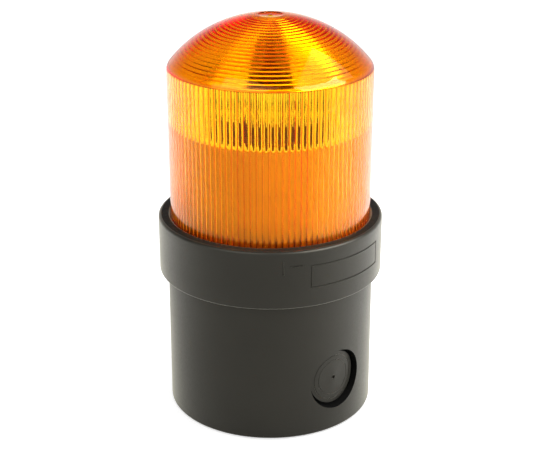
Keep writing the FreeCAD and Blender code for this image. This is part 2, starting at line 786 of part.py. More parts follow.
def locking_collar():
    """Collar with bayonet hooks in its skirt, a snap groove for the chassis and a lip over the lens."""
    body = new_body("collar_ring")
    edge = S["edge_round"]
    corners = [
        (S["collar_bore"], S["collar_bottom"]),
        (S["collar_radius"] - edge, S["collar_bottom"]),
        (S["collar_radius"], S["collar_bottom"] + edge),
        (S["collar_radius"], S["collar_top"] - edge),
        (S["collar_radius"] - edge, S["collar_top"]),
        (S["lip_radius"], S["collar_top"]),
        (S["lip_radius"], S["lip_bottom"]),
        (S["seat_radius"], S["lip_bottom"]),
        (S["seat_radius"], S["snap_top"]),
        (S["snap_radius"], S["snap_top"]),
        (S["snap_radius"], S["snap_bottom"]),
        (S["collar_bore"], S["snap_bottom"]),
    ]
    revolve(body, "collar_section", corners, {1: edge, 3: edge})
    hook = new_sketch(body, "hook_outline", "XY_Plane", S["hook_bottom"])
    ring_sector(hook, S["hook_radius"], S["collar_bore"] + edge, S["hook_start"], S["hook_arc"])
    hook_pad = pad(body, hook, "hook", S["hook_top"] - S["hook_bottom"])
    around_axis(body, "hooks", [hook_pad], TRIPLE)
    return finished(cut("collar_cut", body, engraving_tools()), "locking_collar")


ENTRY_AZIMUTH = -90


def engraved_patch(name, bottom, height, start, arc):
    """A curved patch of the collar's surface, as deep as the engraving."""
    reach = S["collar_radius"] + S["edge_round"]
    floor = S["collar_radius"] - S["engraving_depth"]
    return cut(
        name,
        wedge_of_disc(name + "_outside", reach, bottom, height, start, arc),
        [wedge_of_disc(name + "_inside", floor, bottom, height, start, arc)],
    )


def engraving_tools():
    """Cutters for the blank label frame and for the alignment tick and dash."""
    line = S["engraving_width"]
    turn = line * (180 / math.pi) / S["collar_radius"]
    start = S["label_start"] + ENTRY_AZIMUTH
    arc = S["label_end"] - S["label_start"]
    height = S["label_top"] - S["label_bottom"]
    frame = cut(
        "label_frame",
        engraved_patch("label_patch", S["label_bottom"], height, start, arc),
        [
            wedge_of_disc(
                "label_middle",
                S["collar_radius"] * 2,
                S["label_bottom"] + line,
                height - line * 2,
                start + turn,
                arc - turn * 2,
            )
        ],
    )
    tick_start = S["tick_azimuth"] + ENTRY_AZIMUTH
    tick_height = S["tick_top"] - S["tick_bottom"]
    tick = engraved_patch("alignment_tick", S["tick_bottom"], tick_height, tick_start, turn)
    dash_start = S["dash_start"] + ENTRY_AZIMUTH
    dash_arc = S["dash_end"] - S["dash_start"]
    dash = engraved_patch("alignment_dash", S["dash_height"], line, dash_start, dash_arc)
    return [frame, tick, dash]


def lens():
    """Amber lens: smooth outside, fine upright ribs inside its wall and ring steps inside its dome."""
    body = new_body("lens_shell")
    inside = S["lens_radius"] - S["lens_wall"]
    centre = S["lens_top"] - S["dome_radius"]
    dome_square = S["dome_radius"] * S["dome_radius"]
    edge_height = centre + root(dome_square - S["lens_radius"] * S["lens_radius"])
    edge_sine = S["lens_radius"] / S["dome_radius"]
    edge_cosine = (edge_height - centre) / S["dome_radius"]
    tangent = S["dome_edge_tangent"]
    round_start = (S["lens_radius"], edge_height - tangent)
    round_end = (S["lens_radius"] - tangent * edge_cosine, edge_height + tangent * edge_sine)
    gate_rim = centre + root(dome_square - S["gate_radius"] * S["gate_radius"])
    corners = [
        (inside, S["lens_bottom"]),
        (S["lens_flange_radius"], S["lens_bottom"]),
        (S["lens_flange_radius"], S["lip_bottom"]),
        (S["lens_radius"], S["lip_bottom"]),
        round_start,
        round_end,
        (S["gate_radius"], gate_rim),
        (S["gate_radius"], gate_rim - S["gate_depth"]),
        (S["gate_point_radius"], gate_rim - S["gate_depth"]),
        (S["gate_point_radius"], gate_rim),
        (0, gate_rim),
    ]
    arcs = {4: S["dome_edge_round"], 5: S["dome_radius"]}
    corners += dome_rings(centre)
    revolve(body, "lens_section", corners, arcs)

    pitch = FULL_TURN / S["rib_count"]
    half = pitch * S["rib_share"] / 2
    width = inside * sine(half) * 2
    crown = (width * width / 4 + S["rib_depth"] * S["rib_depth"]) / (S["rib_depth"] * 2)
    rib = new_sketch(body, "rib_outline", "XY_Plane", S["rib_bottom"])
    root_radius = inside + S["rib_root"]
    ends = [(inside, -half), (root_radius, -half), (root_radius, half), (inside, half)]
    outline(rib, [polar(radius, angle) for radius, angle in ends], {3: crown})
    rib_pad = pad(body, rib, "rib", S["rib_top"] - S["rib_bottom"])
    around_axis(body, "ribs", [rib_pad], S["rib_count"])
    return finished(body, "lens")


def dome_rings(centre):
    """Corners of the stepped inner face of the dome, from the axis out to the wall.

    Each step is upright, then level, so that the moulding can be drawn off its core.
    """
    sphere = S["dome_radius"] - S["dome_wall"]
    corners = [(0, centre + sphere)]
    count = int(S["ring_count"].number)
    angles = [S["ring_first"] + S["ring_pitch"] * step for step in range(count + 1)]
    for upper, lower in zip(angles, angles[1:]):
        corners.append((sphere * sine(upper), centre + sphere * cosine(upper)))
        corners.append((sphere * sine(upper), centre + sphere * cosine(lower)))
    corners.append((sphere * sine(angles[-1]), centre + sphere * cosine(angles[-1])))
    inside = S["lens_radius"] - S["lens_wall"]
    corners.append((inside, centre + root(sphere * sphere - inside * inside)))
    return corners


def lens_seal():
    """Flat silicone ring under the lens flange."""
    place = (0, 0, S["lens_bottom"] - S["lens_seal_thickness"])
    ring = tube("lens_ring", place, S["lens_flange_radius"], S["lens_seal_inner"], S["lens_seal_thickness"])
    return finished(ring, "lens_seal")


BOARD_TOP = S["board_bottom"] + S["board_thickness"]


def chassis():
    """Drum that carries the flash unit: snap flange, seal groove, reflector dish and three screw posts."""
    body = new_body("chassis_drum")
    inside = S["chassis_radius"] - S["chassis_wall"]
    flange_top = S["lens_bottom"] - S["lens_seal_thickness"]
    groove_outer = S["seal_radius"] * 2 - S["ring_groove_inner"]
    groove_top = S["chassis_bottom"] + S["ring_groove_depth"]
    plate_seat = S["plate_radius"] + S["seat_play"]
    plate_top = S["chassis_bottom"] + S["plate_thickness"]
    bead_bottom = S["snap_bottom"] + S["seat_play"] / 2
    dish_edge = S["dish_height"] + S["dish_rise"]
    corners = [
        (plate_seat, S["chassis_bottom"]),
        (S["ring_groove_inner"], S["chassis_bottom"]),
        (S["ring_groove_inner"], groove_top),
        (groove_outer, groove_top),
        (groove_outer, S["chassis_bottom"]),
        (S["chassis_flange_radius"], S["chassis_bottom"]),
        (S["chassis_flange_radius"], bead_bottom),
        (S["chassis_bead_radius"], bead_bottom),
        (S["chassis_bead_radius"], flange_top),
        (S["chassis_radius"], flange_top),
        (S["chassis_radius"], S["chassis_rim"]),
        (inside, S["chassis_rim"]),
        (inside, dish_edge),
        (S["dish_radius"], S["dish_height"]),
        (S["socket_hole"], S["dish_height"]),
        (S["socket_hole"], S["dish_height"] - S["chassis_wall"]),
        (S["dish_radius"], S["dish_height"] - S["chassis_wall"]),
        (inside, dish_edge - S["chassis_wall"]),
        (inside, plate_top),
        (plate_seat, plate_top),
    ]
    revolve(body, "drum_section", corners)
    post = new_sketch(body, "post_outline", "XY_Plane", BOARD_TOP)
    half = S["post_size"] / 2
    inner_side = S["post_radius"] - half
    outer_side = inside + S["chassis_wall"] / 2
    outline(post, [(-half, inner_side), (half, inner_side), (half, outer_side), (-half, outer_side)])
    post_pad = pad(body, post, "post", S["post_top"] - BOARD_TOP)
    hole = new_sketch(body, "post_hole_outline", "XY_Plane", BOARD_TOP)
    circle(hole, (0, S["post_radius"]), S["screw_radius"] + S["thread_play"])
    hole_cut = pocket(body, hole, "post_hole", S["post_hole_depth"], upwards=True)
    around_axis(body, "posts", [post_pad, hole_cut], TRIPLE)
    return finished(body, "chassis")


def post_positions():
    turns = [S["post_start"] + FULL_TURN / TRIPLE * post for post in range(TRIPLE)]
    return [polar(S["post_radius"], turn) for turn in turns]


def contact_plate():
    """Black plate that closes the chassis, with sleeves that press the board against the posts."""
    bottom = S["chassis_bottom"]
    disc = cylinder("plate_disc", (0, 0, bottom), S["plate_radius"], S["plate_thickness"])
    sleeves, tools = [], []
    reach = S["board_bottom"] - bottom
    seat_radius = S["screw_head_radius"] + S["seat_play"]
    seat_depth = S["screw_head_height"] + S["seat_play"]
    for number, (x, y) in enumerate(post_positions()):
        place = (x, y, bottom)
        sleeves.append(cylinder(f"sleeve_{number}", place, S["plate_sleeve_radius"], reach))
        tools.append(cylinder(f"sleeve_hole_{number}", place, S["screw_hole"], reach))
        tools.append(cylinder(f"sleeve_seat_{number}", place, seat_radius, seat_depth))
    stud_hole = S["stud_radius"] + S["thread_play"]
    for number, (x, y) in enumerate(stud_positions()):
        tools.append(cylinder(f"stud_hole_{number}", (x, y, bottom), stud_hole, S["plate_thickness"]))
    plate = cut("plate_cut", fuse("plate_solid", [disc, *sleeves]), tools)
    return finished(plate, "contact_plate")


def track_starts():
    """Azimuths where the two contact tracks start, from where the springs stand."""
    y = STRIP_BACK - S["strip_loop"]
    starts = []
    for x in way_positions():
        number = math.degrees(math.atan2(y.number, x.number))
        azimuth = Size(number, f"(atan2({y.text}; {x.text}) / 1 deg)")
        starts.append(azimuth - S["track_lead"])
    return starts


def stud_positions():
    return [polar(S["track_radius"], start + S["track_arc"] / 2) for start in track_starts()]


def contact_tracks():
    """Brass tracks under the contact plate, over the springs as the head turns, each with a stud."""
    tracks = []
    thickness = S["track_thickness"]
    bottom = S["chassis_bottom"] - thickness
    half = S["track_width"] / 2
    outer_radius, inner_radius = S["track_radius"] + half, S["track_radius"] - half
    stud_height = BOARD_TOP + thickness - bottom
    for number, (start, (x, y)) in enumerate(zip(track_starts(), stud_positions())):
        name = f"track_outside_{number}"
        outer = wedge_of_disc(name, outer_radius, bottom, thickness, start, S["track_arc"])
        inner = cylinder(f"track_inside_{number}", (0, 0, bottom), inner_radius, thickness)
        arc = cut(f"track_arc_{number}", outer, [inner])
        stud_start = (x, y, bottom + thickness / 2)
        stud = cylinder(f"track_stud_{number}", stud_start, S["stud_radius"], stud_height)
        tracks.append(fuse(f"track_{number}", [arc, stud]))
    return finished(group("tracks", tracks), "contact_tracks")


def chassis_screws():
    """Three long screws that clamp contact plate and board to the chassis posts, heads down."""
    screws = []
    bottom = S["chassis_bottom"] + S["seat_play"]
    radius, height = S["screw_head_radius"], S["screw_head_height"]
    slot_width = radius * SLOT_SHARE
    for number, (x, y) in enumerate(post_positions()):
        place = (x, y, bottom)
        head = cylinder(f"long_head_{number}", place, radius, height)
        shank = cylinder(f"long_shank_{number}", place, S["screw_radius"], S["screw_length"])
        slot = box(
            f"long_slot_{number}",
            (x - radius, y - slot_width / 2, bottom),
            (radius * 2, slot_width, height * (1 - SLOT_FLOOR)),
        )
        screws.append(cut(f"long_screw_{number}", fuse(f"long_solid_{number}", [head, shank]), [slot]))
    return finished(group("long_screws", screws), "chassis_screws")


def control_board():
    """Round circuit board of the flash unit."""
    bottom, thickness = S["board_bottom"], S["board_thickness"]
    disc = cylinder("board_disc", (0, 0, bottom), S["board_radius"], thickness)
    tools = []
    for number, (x, y) in enumerate(post_positions()):
        tools.append(cylinder(f"board_hole_{number}", (x, y, bottom), S["screw_hole"], thickness))
    stud_hole = S["stud_radius"] + S["thread_play"]
    for number, (x, y) in enumerate(stud_positions()):
        tools.append(cylinder(f"board_stud_hole_{number}", (x, y, bottom), stud_hole, thickness))
    return finished(cut("board_cut", disc, tools), "control_board")


# Places of the components on the board, from the beacon's axis
CAPACITOR_PLACE = (-13.5, 4.5)
CORE_PLACE = (4.0, -1.5)
COIL_PLACE = (0, -13.0)
TRANSISTOR_PLACE = (5.0, -17.5)
RESISTOR_PLACES = [(-12.0, -8.0), (-10.6, -11.9), (-12.0, -15.5), (-5.5, 13.0)]


def storage_capacitor():
    """Electrolytic can with a rolled groove near its foot."""
    body = new_body("capacitor_can")
    radius, height = S["capacitor_radius"], S["capacitor_height"]
    groove = S["can_groove"]
    corners = [
        (0, 0),
        (radius, 0),
        (radius, groove * 3),
        (radius - groove, groove * 4),
        (radius, groove * 5),
        (radius, height - groove),
        (radius - groove, height),
        (0, height),
    ]
    revolve(body, "can_section", corners)
    set_at(body, (*CAPACITOR_PLACE, BOARD_TOP))
    return finished(body, "storage_capacitor")


def core_window():
    """Width of each opening of the core, beside a middle limb half as wide again as an outer one."""
    return (S["core_length"] - S["core_limb"] * 3.5) / 2


def transformer_core():
    """Ferrite frame of the step-up transformer with its middle limb."""
    x, y = CORE_PLACE
    length, width, height = S["core_length"], S["core_width"], S["core_height"]
    limb = S["core_limb"]
    outside = box("core_block", (x, y, BOARD_TOP), (length, width, height))
    windows = []
    size = (core_window(), width, height - limb * 2)
    for number, start in enumerate((x + limb, x + length - limb - size[0])):
        windows.append(box(f"core_window_{number}", (start, y, BOARD_TOP + limb), size))
    return finished(cut("core_cut", outside, windows), "transformer_core")


def transformer_winding():
    """Winding round the middle limb of the core."""
    x, y = CORE_PLACE
    width, height, limb = S["core_width"], S["core_height"], S["core_limb"]
    gap, bulge = S["winding_gap"], S["winding_bulge"]
    middle_limb = limb * 1.5
    low = (x + limb + gap, y - bulge, BOARD_TOP + limb + gap)
    size = (
        core_window() * 2 + middle_limb - gap * 2,
        width + bulge * 2,
        height - limb * 2 - gap * 2,
    )
    bore_low = (x + limb + core_window() - gap, y - gap, BOARD_TOP)
    bore_size = (middle_limb + gap * 2, width + gap * 2, height)
    bore = box("winding_bore", bore_low, bore_size)
    winding = cut("winding_cut", box("winding_block", low, size), [bore])
    return finished(winding, "transformer_winding")


def trigger_coil():
    """Small high-voltage coil that fires the tube, with two cheeks."""
    place = (*COIL_PLACE, BOARD_TOP)
    head_place = (*COIL_PLACE, BOARD_TOP + S["coil_height"] - S["coil_cheek"])
    coil = fuse(
        "coil_solid",
        [
            cylinder("coil_foot", place, S["coil_cheek_radius"], S["coil_cheek"]),
            cylinder("coil_winding", place, S["coil_radius"], S["coil_height"]),
            cylinder("coil_head", head_place, S["coil_cheek_radius"], S["coil_cheek"]),
        ],
    )
    return finished(coil, "trigger_coil")


def switching_transistor():
    """Power transistor standing on the board, with its metal tab."""
    x, y = TRANSISTOR_PLACE
    width, depth, lift = S["transistor_width"], S["transistor_depth"], S["transistor_lift"]
    low = (x, y, BOARD_TOP + lift)
    package = box("transistor_package", low, (width, depth, width))
    tab = box("transistor_tab", low, (width, S["tab_thickness"], S["tab_height"]))
    legs = []
    for number in range(TRIPLE):
        middle = x + width / 2 + S["leg_pitch"] * (number - 1)
        leg_low = (middle - S["leg_width"] / 2, y + (depth - S["leg_depth"]) / 2, BOARD_TOP)
        leg_size = (S["leg_width"], S["leg_depth"], lift + S["tab_thickness"])
        legs.append(box(f"transistor_leg_{number}", leg_low, leg_size))
    return finished(fuse("transistor_solid", [package, tab, *legs]), "switching_transistor")


def board_resistors():
    """Axial resistors lying on the board."""
    radius = S["resistor_radius"]
    bodies = [
        cylinder(f"resistor_{number}", (x, y, BOARD_TOP + radius), radius, S["resistor_length"], "+X")
        for number, (x, y) in enumerate(RESISTOR_PLACES)
    ]
    return finished(group("resistors", bodies), "board_resistors")


def tube_legs():
    """Where the two legs of the flash tube stand."""
    return [polar(S["tube_half_pitch"], S["tube_turn"] + turn) for turn in (180, 0)]


def tube_socket():
    """Black socket in the middle of the reflector dish, with a raised sleeve round each leg of the tube."""
    dish = S["dish_height"]
    stem_length = S["socket_flange"]
    solids = [
        cylinder("socket_stem", (0, 0, dish - stem_length), S["socket_radius"], stem_length),
        cylinder("socket_collar", (0, 0, dish), S["socket_flange"], S["chassis_wall"]),
    ]
    seats = []
    seat_radius = S["tube_radius"] + S["seat_play"] / 2
    seat_depth = S["socket_top"] - S["tube_foot"]
    for number, (x, y) in enumerate(tube_legs()):
        name = f"socket_sleeve_{number}"
        solids.append(cylinder(name, (x, y, dish), S["socket_sleeve_radius"], S["socket_top"] - dish))
        seats.append(cylinder(f"socket_seat_{number}", (x, y, S["tube_foot"]), seat_radius, seat_depth))
    return finished(cut("socket_cut", fuse("socket_solid", solids), seats), "tube_socket")


def swept_u(name, radius):
    """A rod bent into a U: two legs and a half turn, swept in the XZ plane and turned to its azimuth."""
    body = new_body(name)
    path = new_sketch(body, name + "_path", "XZ_Plane")
    left, right = -S["tube_half_pitch"], S["tube_half_pitch"]
    foot, bend = S["tube_foot"], S["tube_bend_height"]
    lines = [((left, foot), (left, bend)), ((right, bend), (right, foot))]
    for start, end in lines:
        index = path.addGeometry(Part.LineSegment(vector(start), vector(end)), False)
        pin_point(path, index, CIRCLE_START, start)
        pin_point(path, index, CIRCLE_END, end)
    half_turn = Part.Circle(vector((0, bend)), FreeCAD.Vector(0, 0, 1), right.number)
    index = path.addGeometry(Part.ArcOfCircle(half_turn, 0, math.pi), False)
    path.addConstraint(Sketcher.Constraint("Coincident", index, CIRCLE_START, 1, CIRCLE_START))
    path.addConstraint(Sketcher.Constraint("Coincident", index, CIRCLE_END, 0, CIRCLE_END))
    centre = Sketcher.Constraint("DistanceY", ORIGIN, 1, index, CIRCLE_CENTRE, bend.number)
    path.setExpression(f"Constraints[{path.addConstraint(centre)}]", bend.text)
    section = new_sketch(body, name + "_section", "XY_Plane", foot)
    circle(section, (left, 0), radius)
    pipe = body.newObject("PartDesign::AdditivePipe", name + "_sweep")
    pipe.Profile = section
    pipe.Spine = (path, ["Edge1", "Edge2", "Edge3"])
    body.Placement = FreeCAD.Placement(FreeCAD.Vector(), FreeCAD.Rotation(FreeCAD.Vector(0, 0, 1), 0))
    body.setExpression("Placement.Rotation.Angle", S["tube_turn"].text)
    return body


def flash_tube():
    """Glass of the xenon tube, hollow, bent into a U."""
    rod, gas = swept_u("tube_glass", S["tube_radius"]), swept_u("tube_gas", S["tube_bore"])
    return finished(cut("tube_cut", rod, [gas]), "flash_tube")


def tube_electrodes():
    """Metal electrodes in the lower ends of the tube."""
    radius = S["tube_bore"] - S["seat_play"] / 2
    length = S["socket_top"] - S["tube_foot"]
    rods = [
        cylinder(f"electrode_{number}", (x, y, S["tube_foot"]), radius, length)
        for number, (x, y) in enumerate(tube_legs())
    ]
    return finished(group("electrodes", rods), "tube_electrodes")


def trigger_bands():
    """Thin metal bands round the legs that carry the trigger pulse."""
    inner = S["tube_radius"] + S["thread_play"]
    outer = inner + S["track_thickness"]
    bottom = S["socket_top"] + S["band_lift"]
    bands = [
        tube(f"band_{number}", (x, y, bottom), outer, inner, S["band_height"])
        for number, (x, y) in enumerate(tube_legs())
    ]
    return finished(group("bands", bands), "trigger_bands")


BUILDERS = [
    base_housing,
    base_gasket,
    terminal_block,
    terminal_clamps,
    terminal_screws,
    ear_screws,
    contact_springs,
    head_seal,
    locking_collar,
    lens,
    lens_seal,
    chassis,
    contact_plate,
    contact_tracks,
    chassis_screws,
    control_board,
    storage_capacitor,
    transformer_core,
    transformer_winding,
    trigger_coil,
    switching_transistor,
    board_resistors,
    tube_socket,
    flash_tube,
    tube_electrodes,
    trigger_bands,
]


def check_document():
    """Stops if an object failed, or if a part has no valid solid."""
    for thing in doc.Objects:
        if "Invalid" in thing.State or "Error" in thing.State:
            raise RuntimeError(f"{thing.Label} failed: {thing.State}")
    for part in PARTS:
        if part.Shape.isNull() or not part.Shape.isValid() or not part.Shape.Solids:
            raise RuntimeError(f"{part.Label} has no valid solid")


def main():
    for build in BUILDERS:
        build()
        doc.recompute()
    check_document()
    os.makedirs("parts", exist_ok=True)
    for part in PARTS:
        part.Shape.exportStep(os.path.join("parts", part.Label + ".step"))
        size = part.Shape.BoundBox
        print(
            f"{part.Label}: {len(part.Shape.Solids)} solid(s), {part.Shape.Volume:.0f} mm3, "
            f"z {size.ZMin:.2f} to {size.ZMax:.2f}, width {size.XLength:.2f}"
        )


main()
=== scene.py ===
# %% [markdown]
# # A flashing beacon, dressed for the camera
#
# The beacon is a black base, a black locking collar and an amber lens with a flash unit inside it.
# The CAD model is loaded first as a fixed frame. The three pieces that the eye meets first, base,
# collar and lens, are then modelled again with rounded edges and finer relief. The pieces inside
# keep their CAD shapes and get better materials. Everything is in the CAD's own frame, in metres,
# while the drawing helpers take millimetres.

# %% Load the frame
import json
import math

import bpy
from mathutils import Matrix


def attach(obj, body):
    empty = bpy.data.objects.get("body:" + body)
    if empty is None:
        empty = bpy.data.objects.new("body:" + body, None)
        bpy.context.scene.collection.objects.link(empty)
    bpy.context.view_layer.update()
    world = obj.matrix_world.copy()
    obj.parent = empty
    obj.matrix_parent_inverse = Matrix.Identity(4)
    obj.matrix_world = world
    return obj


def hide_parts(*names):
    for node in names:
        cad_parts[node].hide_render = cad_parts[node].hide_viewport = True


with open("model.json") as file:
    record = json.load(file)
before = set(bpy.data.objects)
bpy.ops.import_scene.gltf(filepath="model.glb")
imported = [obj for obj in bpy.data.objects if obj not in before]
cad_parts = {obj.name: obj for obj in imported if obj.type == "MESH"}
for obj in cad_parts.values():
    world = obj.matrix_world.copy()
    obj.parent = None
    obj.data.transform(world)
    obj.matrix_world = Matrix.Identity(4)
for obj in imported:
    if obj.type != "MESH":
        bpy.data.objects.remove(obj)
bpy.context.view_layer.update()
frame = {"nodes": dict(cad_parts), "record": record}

scene = bpy.context.scene
nodes = frame["nodes"]
MM = 0.001

# %% [markdown]
# ## The camera
#
# The photograph looks down on the beacon by about 21 degrees, from the left of the side cable entry.
# A camera could be set by eye. This one was worked out from the outlines of base, collar and lens
# instead, so that the render lies over the photograph. It stands on a circle round the beacon's axis
# and looks at that axis. The shift is less than a pixel and only centres the beacon.

# %% Camera
CAMERA_AZIMUTH = math.radians(-39.8)
CAMERA_DISTANCE = 0.3581
CAMERA_HEIGHT = 0.1989
CAMERA_PITCH = math.radians(21.48)
FOCAL_LENGTH, SENSOR_WIDTH, NEAREST = 81.3, 36, 0.01
IMAGE_WIDTH = 540
CENTRE_OFFSET = -0.31

camera_data = bpy.data.cameras.new("photo_camera")
camera_data.lens = FOCAL_LENGTH
camera_data.sensor_width = SENSOR_WIDTH
camera_data.shift_x = CENTRE_OFFSET / IMAGE_WIDTH
camera_data.clip_start = NEAREST
camera = bpy.data.objects.new("photo_camera", camera_data)
camera.location = (
    math.sin(CAMERA_AZIMUTH) * CAMERA_DISTANCE,
    -math.cos(CAMERA_AZIMUTH) * CAMERA_DISTANCE,
    CAMERA_HEIGHT,
)
camera.rotation_euler = (math.pi / 2 - CAMERA_PITCH, 0, CAMERA_AZIMUTH)
scene.collection.objects.link(camera)
scene.camera = camera
print("camera at", [round(c, 3) for c in camera.location])

# %% [markdown]
# ## The white world
#
# This is a product shot on white. A plain white world would do, but black plastic would then mirror
# white from everywhere and turn grey. The Light Path node tells which kind of ray asks. The camera
# sees plain white, scattered light keeps the plain level at which a colour renders as it is written,
# and mirrors see a room whose ceiling is dark. Rays that go through the lens see a bright zenith,
# which gives its ribs and rings something to catch.

# %% World
PLAIN_LEVEL, CEILING_LEVEL, ZENITH_LEVEL = 1.0, 0.05, 3.0
# heights of a ray's direction, from 0 at the horizon to 1 straight up
WALLS_END, CEILING_START, ZENITH_START = -0.05, 0.45, 0.55


def fade(tree, value, first, last, start=0, end=1, shape="LINEAR"):
    """Goes from first to last, numbers or sockets, while a value goes from start to end."""
    ramp = tree.nodes.new("ShaderNodeMapRange")
    ramp.interpolation_type = shape
    ramp.inputs["From Min"].default_value = start
    ramp.inputs["From Max"].default_value = end
    tree.links.new(value, ramp.inputs["Value"])
    for name, level in (("To Min", first), ("To Max", last)):
        if isinstance(level, (int, float)):
            ramp.inputs[name].default_value = level
        else:
            tree.links.new(level, ramp.inputs[name])
    return ramp.outputs["Result"]


world = bpy.data.worlds.new("white_studio")
scene.world = world
world.use_nodes = True
tree = world.node_tree
background = tree.nodes["Background"]
background.inputs["Color"].default_value = (1, 1, 1, 1)
rays = tree.nodes.new("ShaderNodeLightPath").outputs
direction = tree.nodes.new("ShaderNodeTexCoord")
height = tree.nodes.new("ShaderNodeSeparateXYZ")
tree.links.new(direction.outputs["Generated"], height.inputs["Vector"])
upwards = height.outputs["Z"]
mirrored = fade(tree, upwards, 1, CEILING_LEVEL, WALLS_END, CEILING_START, "SMOOTHSTEP")
through_lens = fade(tree, upwards, 1, ZENITH_LEVEL, ZENITH_START, 1, "SMOOTHSTEP")
strength = fade(tree, rays["Is Glossy Ray"], PLAIN_LEVEL, mirrored)
strength = fade(tree, rays["Is Transmission Ray"], strength, through_lens)
strength = fade(tree, rays["Is Camera Ray"], strength, 1)
tree.links.new(strength, background.inputs["Strength"])
print("world: white at", PLAIN_LEVEL, "for scattered light")

# %% [markdown]
# ## The floor
#
# The floor is a matt pale sheet that keeps the beacon's soft shadow. More light would make it white,
# but also wash out the beacon. So the sheet glows a little by itself, and only for the camera and for
# rays through the lens: Light Path again decides.

# %% Floor
FLOOR_SIZE, FLOOR_DROP, FLOOR_TONE = 6, 0.0002, 0.8
FLOOR_LIFT, LENS_LIFT = 0.5, 0.25

bpy.ops.object.select_all(action="DESELECT")
bpy.ops.mesh.primitive_plane_add(size=FLOOR_SIZE, location=(0, 0, -FLOOR_DROP))
floor = bpy.context.object
floor.name = "studio_floor"
floor_paint = bpy.data.materials.new("studio_floor_paint")
floor_paint.use_nodes = True
tree = floor_paint.node_tree
tree.nodes.clear()
matt = tree.nodes.new("ShaderNodeBsdfDiffuse")
matt.inputs["Color"].default_value = (FLOOR_TONE, FLOOR_TONE, FLOOR_TONE, 1)
glow = tree.nodes.new("ShaderNodeEmission")
rays = tree.nodes.new("ShaderNodeLightPath").outputs
lift = fade(tree, rays["Is Transmission Ray"], 0, LENS_LIFT)
lift = fade(tree, rays["Is Camera Ray"], lift, FLOOR_LIFT)
both = tree.nodes.new("ShaderNodeAddShader")
surface = tree.nodes.new("ShaderNodeOutputMaterial")
tree.links.new(lift, glow.inputs["Strength"])
tree.links.new(matt.outputs[0], both.inputs[0])
tree.links.new(glow.outputs[0], both.inputs[1])
tree.links.new(both.outputs[0], surface.inputs["Surface"])
floor.data.materials.append(floor_paint)
print("floor:", floor.name, "is", FLOOR_SIZE, "m wide")

# %% [markdown]
# ## Lamps
#
# The real lamps show as reflections: a bright yellow wedge that the dome's rings mirror, and pale
# streaks on the polished lens and the satin collar. Softboxes stand where those reflections ask for
# them. Plain strong lamps would also light the black plastic, so ray visibility is used: the side
# softboxes add nothing to scattered light, and the shine lamps are only mirrored. On each side four
# shine lamps lie one inside the other, which gives a streak that fades to its edge. Light linking
# lets the top lamp light only the lens, and two spots only the floor beside the beacon.

# %% Lamp helpers
LAMP_DISTANCE, LENS_MIDDLE = 0.9, 0.085
SPOT_HEIGHT, SPOT_ANGLE, SPOT_BLEND, SPOT_SOFTNESS = 0.9, 50, 0.8, 0.05


def softbox(name, turn, rise, size, power):
    """A rectangular lamp aimed at the lens; turn is from the camera, in degrees as rise is."""
    data = bpy.data.lights.new(name, "AREA")
    data.shape = "RECTANGLE"
    data.size, data.size_y = size
    data.energy = power
    lamp = bpy.data.objects.new(name, data)
    a, e = CAMERA_AZIMUTH + math.radians(turn), math.radians(rise)
    lamp.location = (
        LAMP_DISTANCE * math.sin(a) * math.cos(e),
        -LAMP_DISTANCE * math.cos(a) * math.cos(e),
        LENS_MIDDLE + LAMP_DISTANCE * math.sin(e),
    )
    lamp.rotation_euler = (math.pi / 2 - e, 0, a)
    scene.collection.objects.link(lamp)
    return lamp


def floor_spot(name, turn, distance, power):
    """A spot that points straight down at the floor; turn is from the camera, in degrees."""
    data = bpy.data.lights.new(name, "SPOT")
    data.energy = power
    data.spot_size = math.radians(SPOT_ANGLE)
    data.spot_blend = SPOT_BLEND
    data.shadow_soft_size = SPOT_SOFTNESS
    lamp = bpy.data.objects.new(name, data)
    a = CAMERA_AZIMUTH + math.radians(turn)
    lamp.location = (distance * math.sin(a), -distance * math.cos(a), SPOT_HEIGHT)
    scene.collection.objects.link(lamp)
    return lamp


def light_only(lamp, piece):
    """Links a lamp to one object, so that it lights nothing else."""
    lit = bpy.data.collections.new("lit_by_" + lamp.name)
    lit.objects.link(piece)
    lamp.light_linking.receiver_collection = lit


print("lamp helpers ready")

# %% Lamps
SHINE_SHARES = (1.0, 0.75, 0.5, 0.25)
BOUNCES = 32

softbox("left_softbox", turn=-36, rise=32, size=(1.0, 0.6), power=2.5).visible_diffuse = False
softbox("right_softbox", turn=63, rise=32, size=(0.9, 0.6), power=15).visible_diffuse = False
for share in SHINE_SHARES:
    for shine in (
        softbox("left_shine", -30, 45, (0.85 * share, 0.7 * share), 2.4 * share**2),
        softbox("right_shine", 84, 48, (0.9 * share, 0.6 * share), 1.7 * share**2),
    ):
        shine.visible_diffuse = shine.visible_transmission = False
top_lamp = softbox("top_softbox", turn=180, rise=86, size=(0.6, 0.6), power=7)
top_lamp.visible_glossy = False
light_only(floor_spot("left_floor_lamp", turn=-115, distance=0.46, power=42), floor)
light_only(floor_spot("right_floor_lamp", turn=105, distance=0.38, power=50), floor)

scene.view_settings.view_transform = "Standard"
scene.cycles.max_bounces = BOUNCES
scene.cycles.transmission_bounces = BOUNCES
scene.cycles.glossy_bounces = BOUNCES

# %% [markdown]
# ## Drawing a half section and spinning it
#
# Base, collar and lens are round mouldings with stepped walls. They could be cut from cylinders, but
# a half section needs fewer steps: one vertex is extruded from corner to corner, as with a pencil.
# Corners that a mould would round get a vertex bevel while the section is still a thin line, because
# that is far easier than bevelling a finished ring. A spin about the axis then sweeps the line round.

# %% Drawing helpers
MERGE = 0.00001


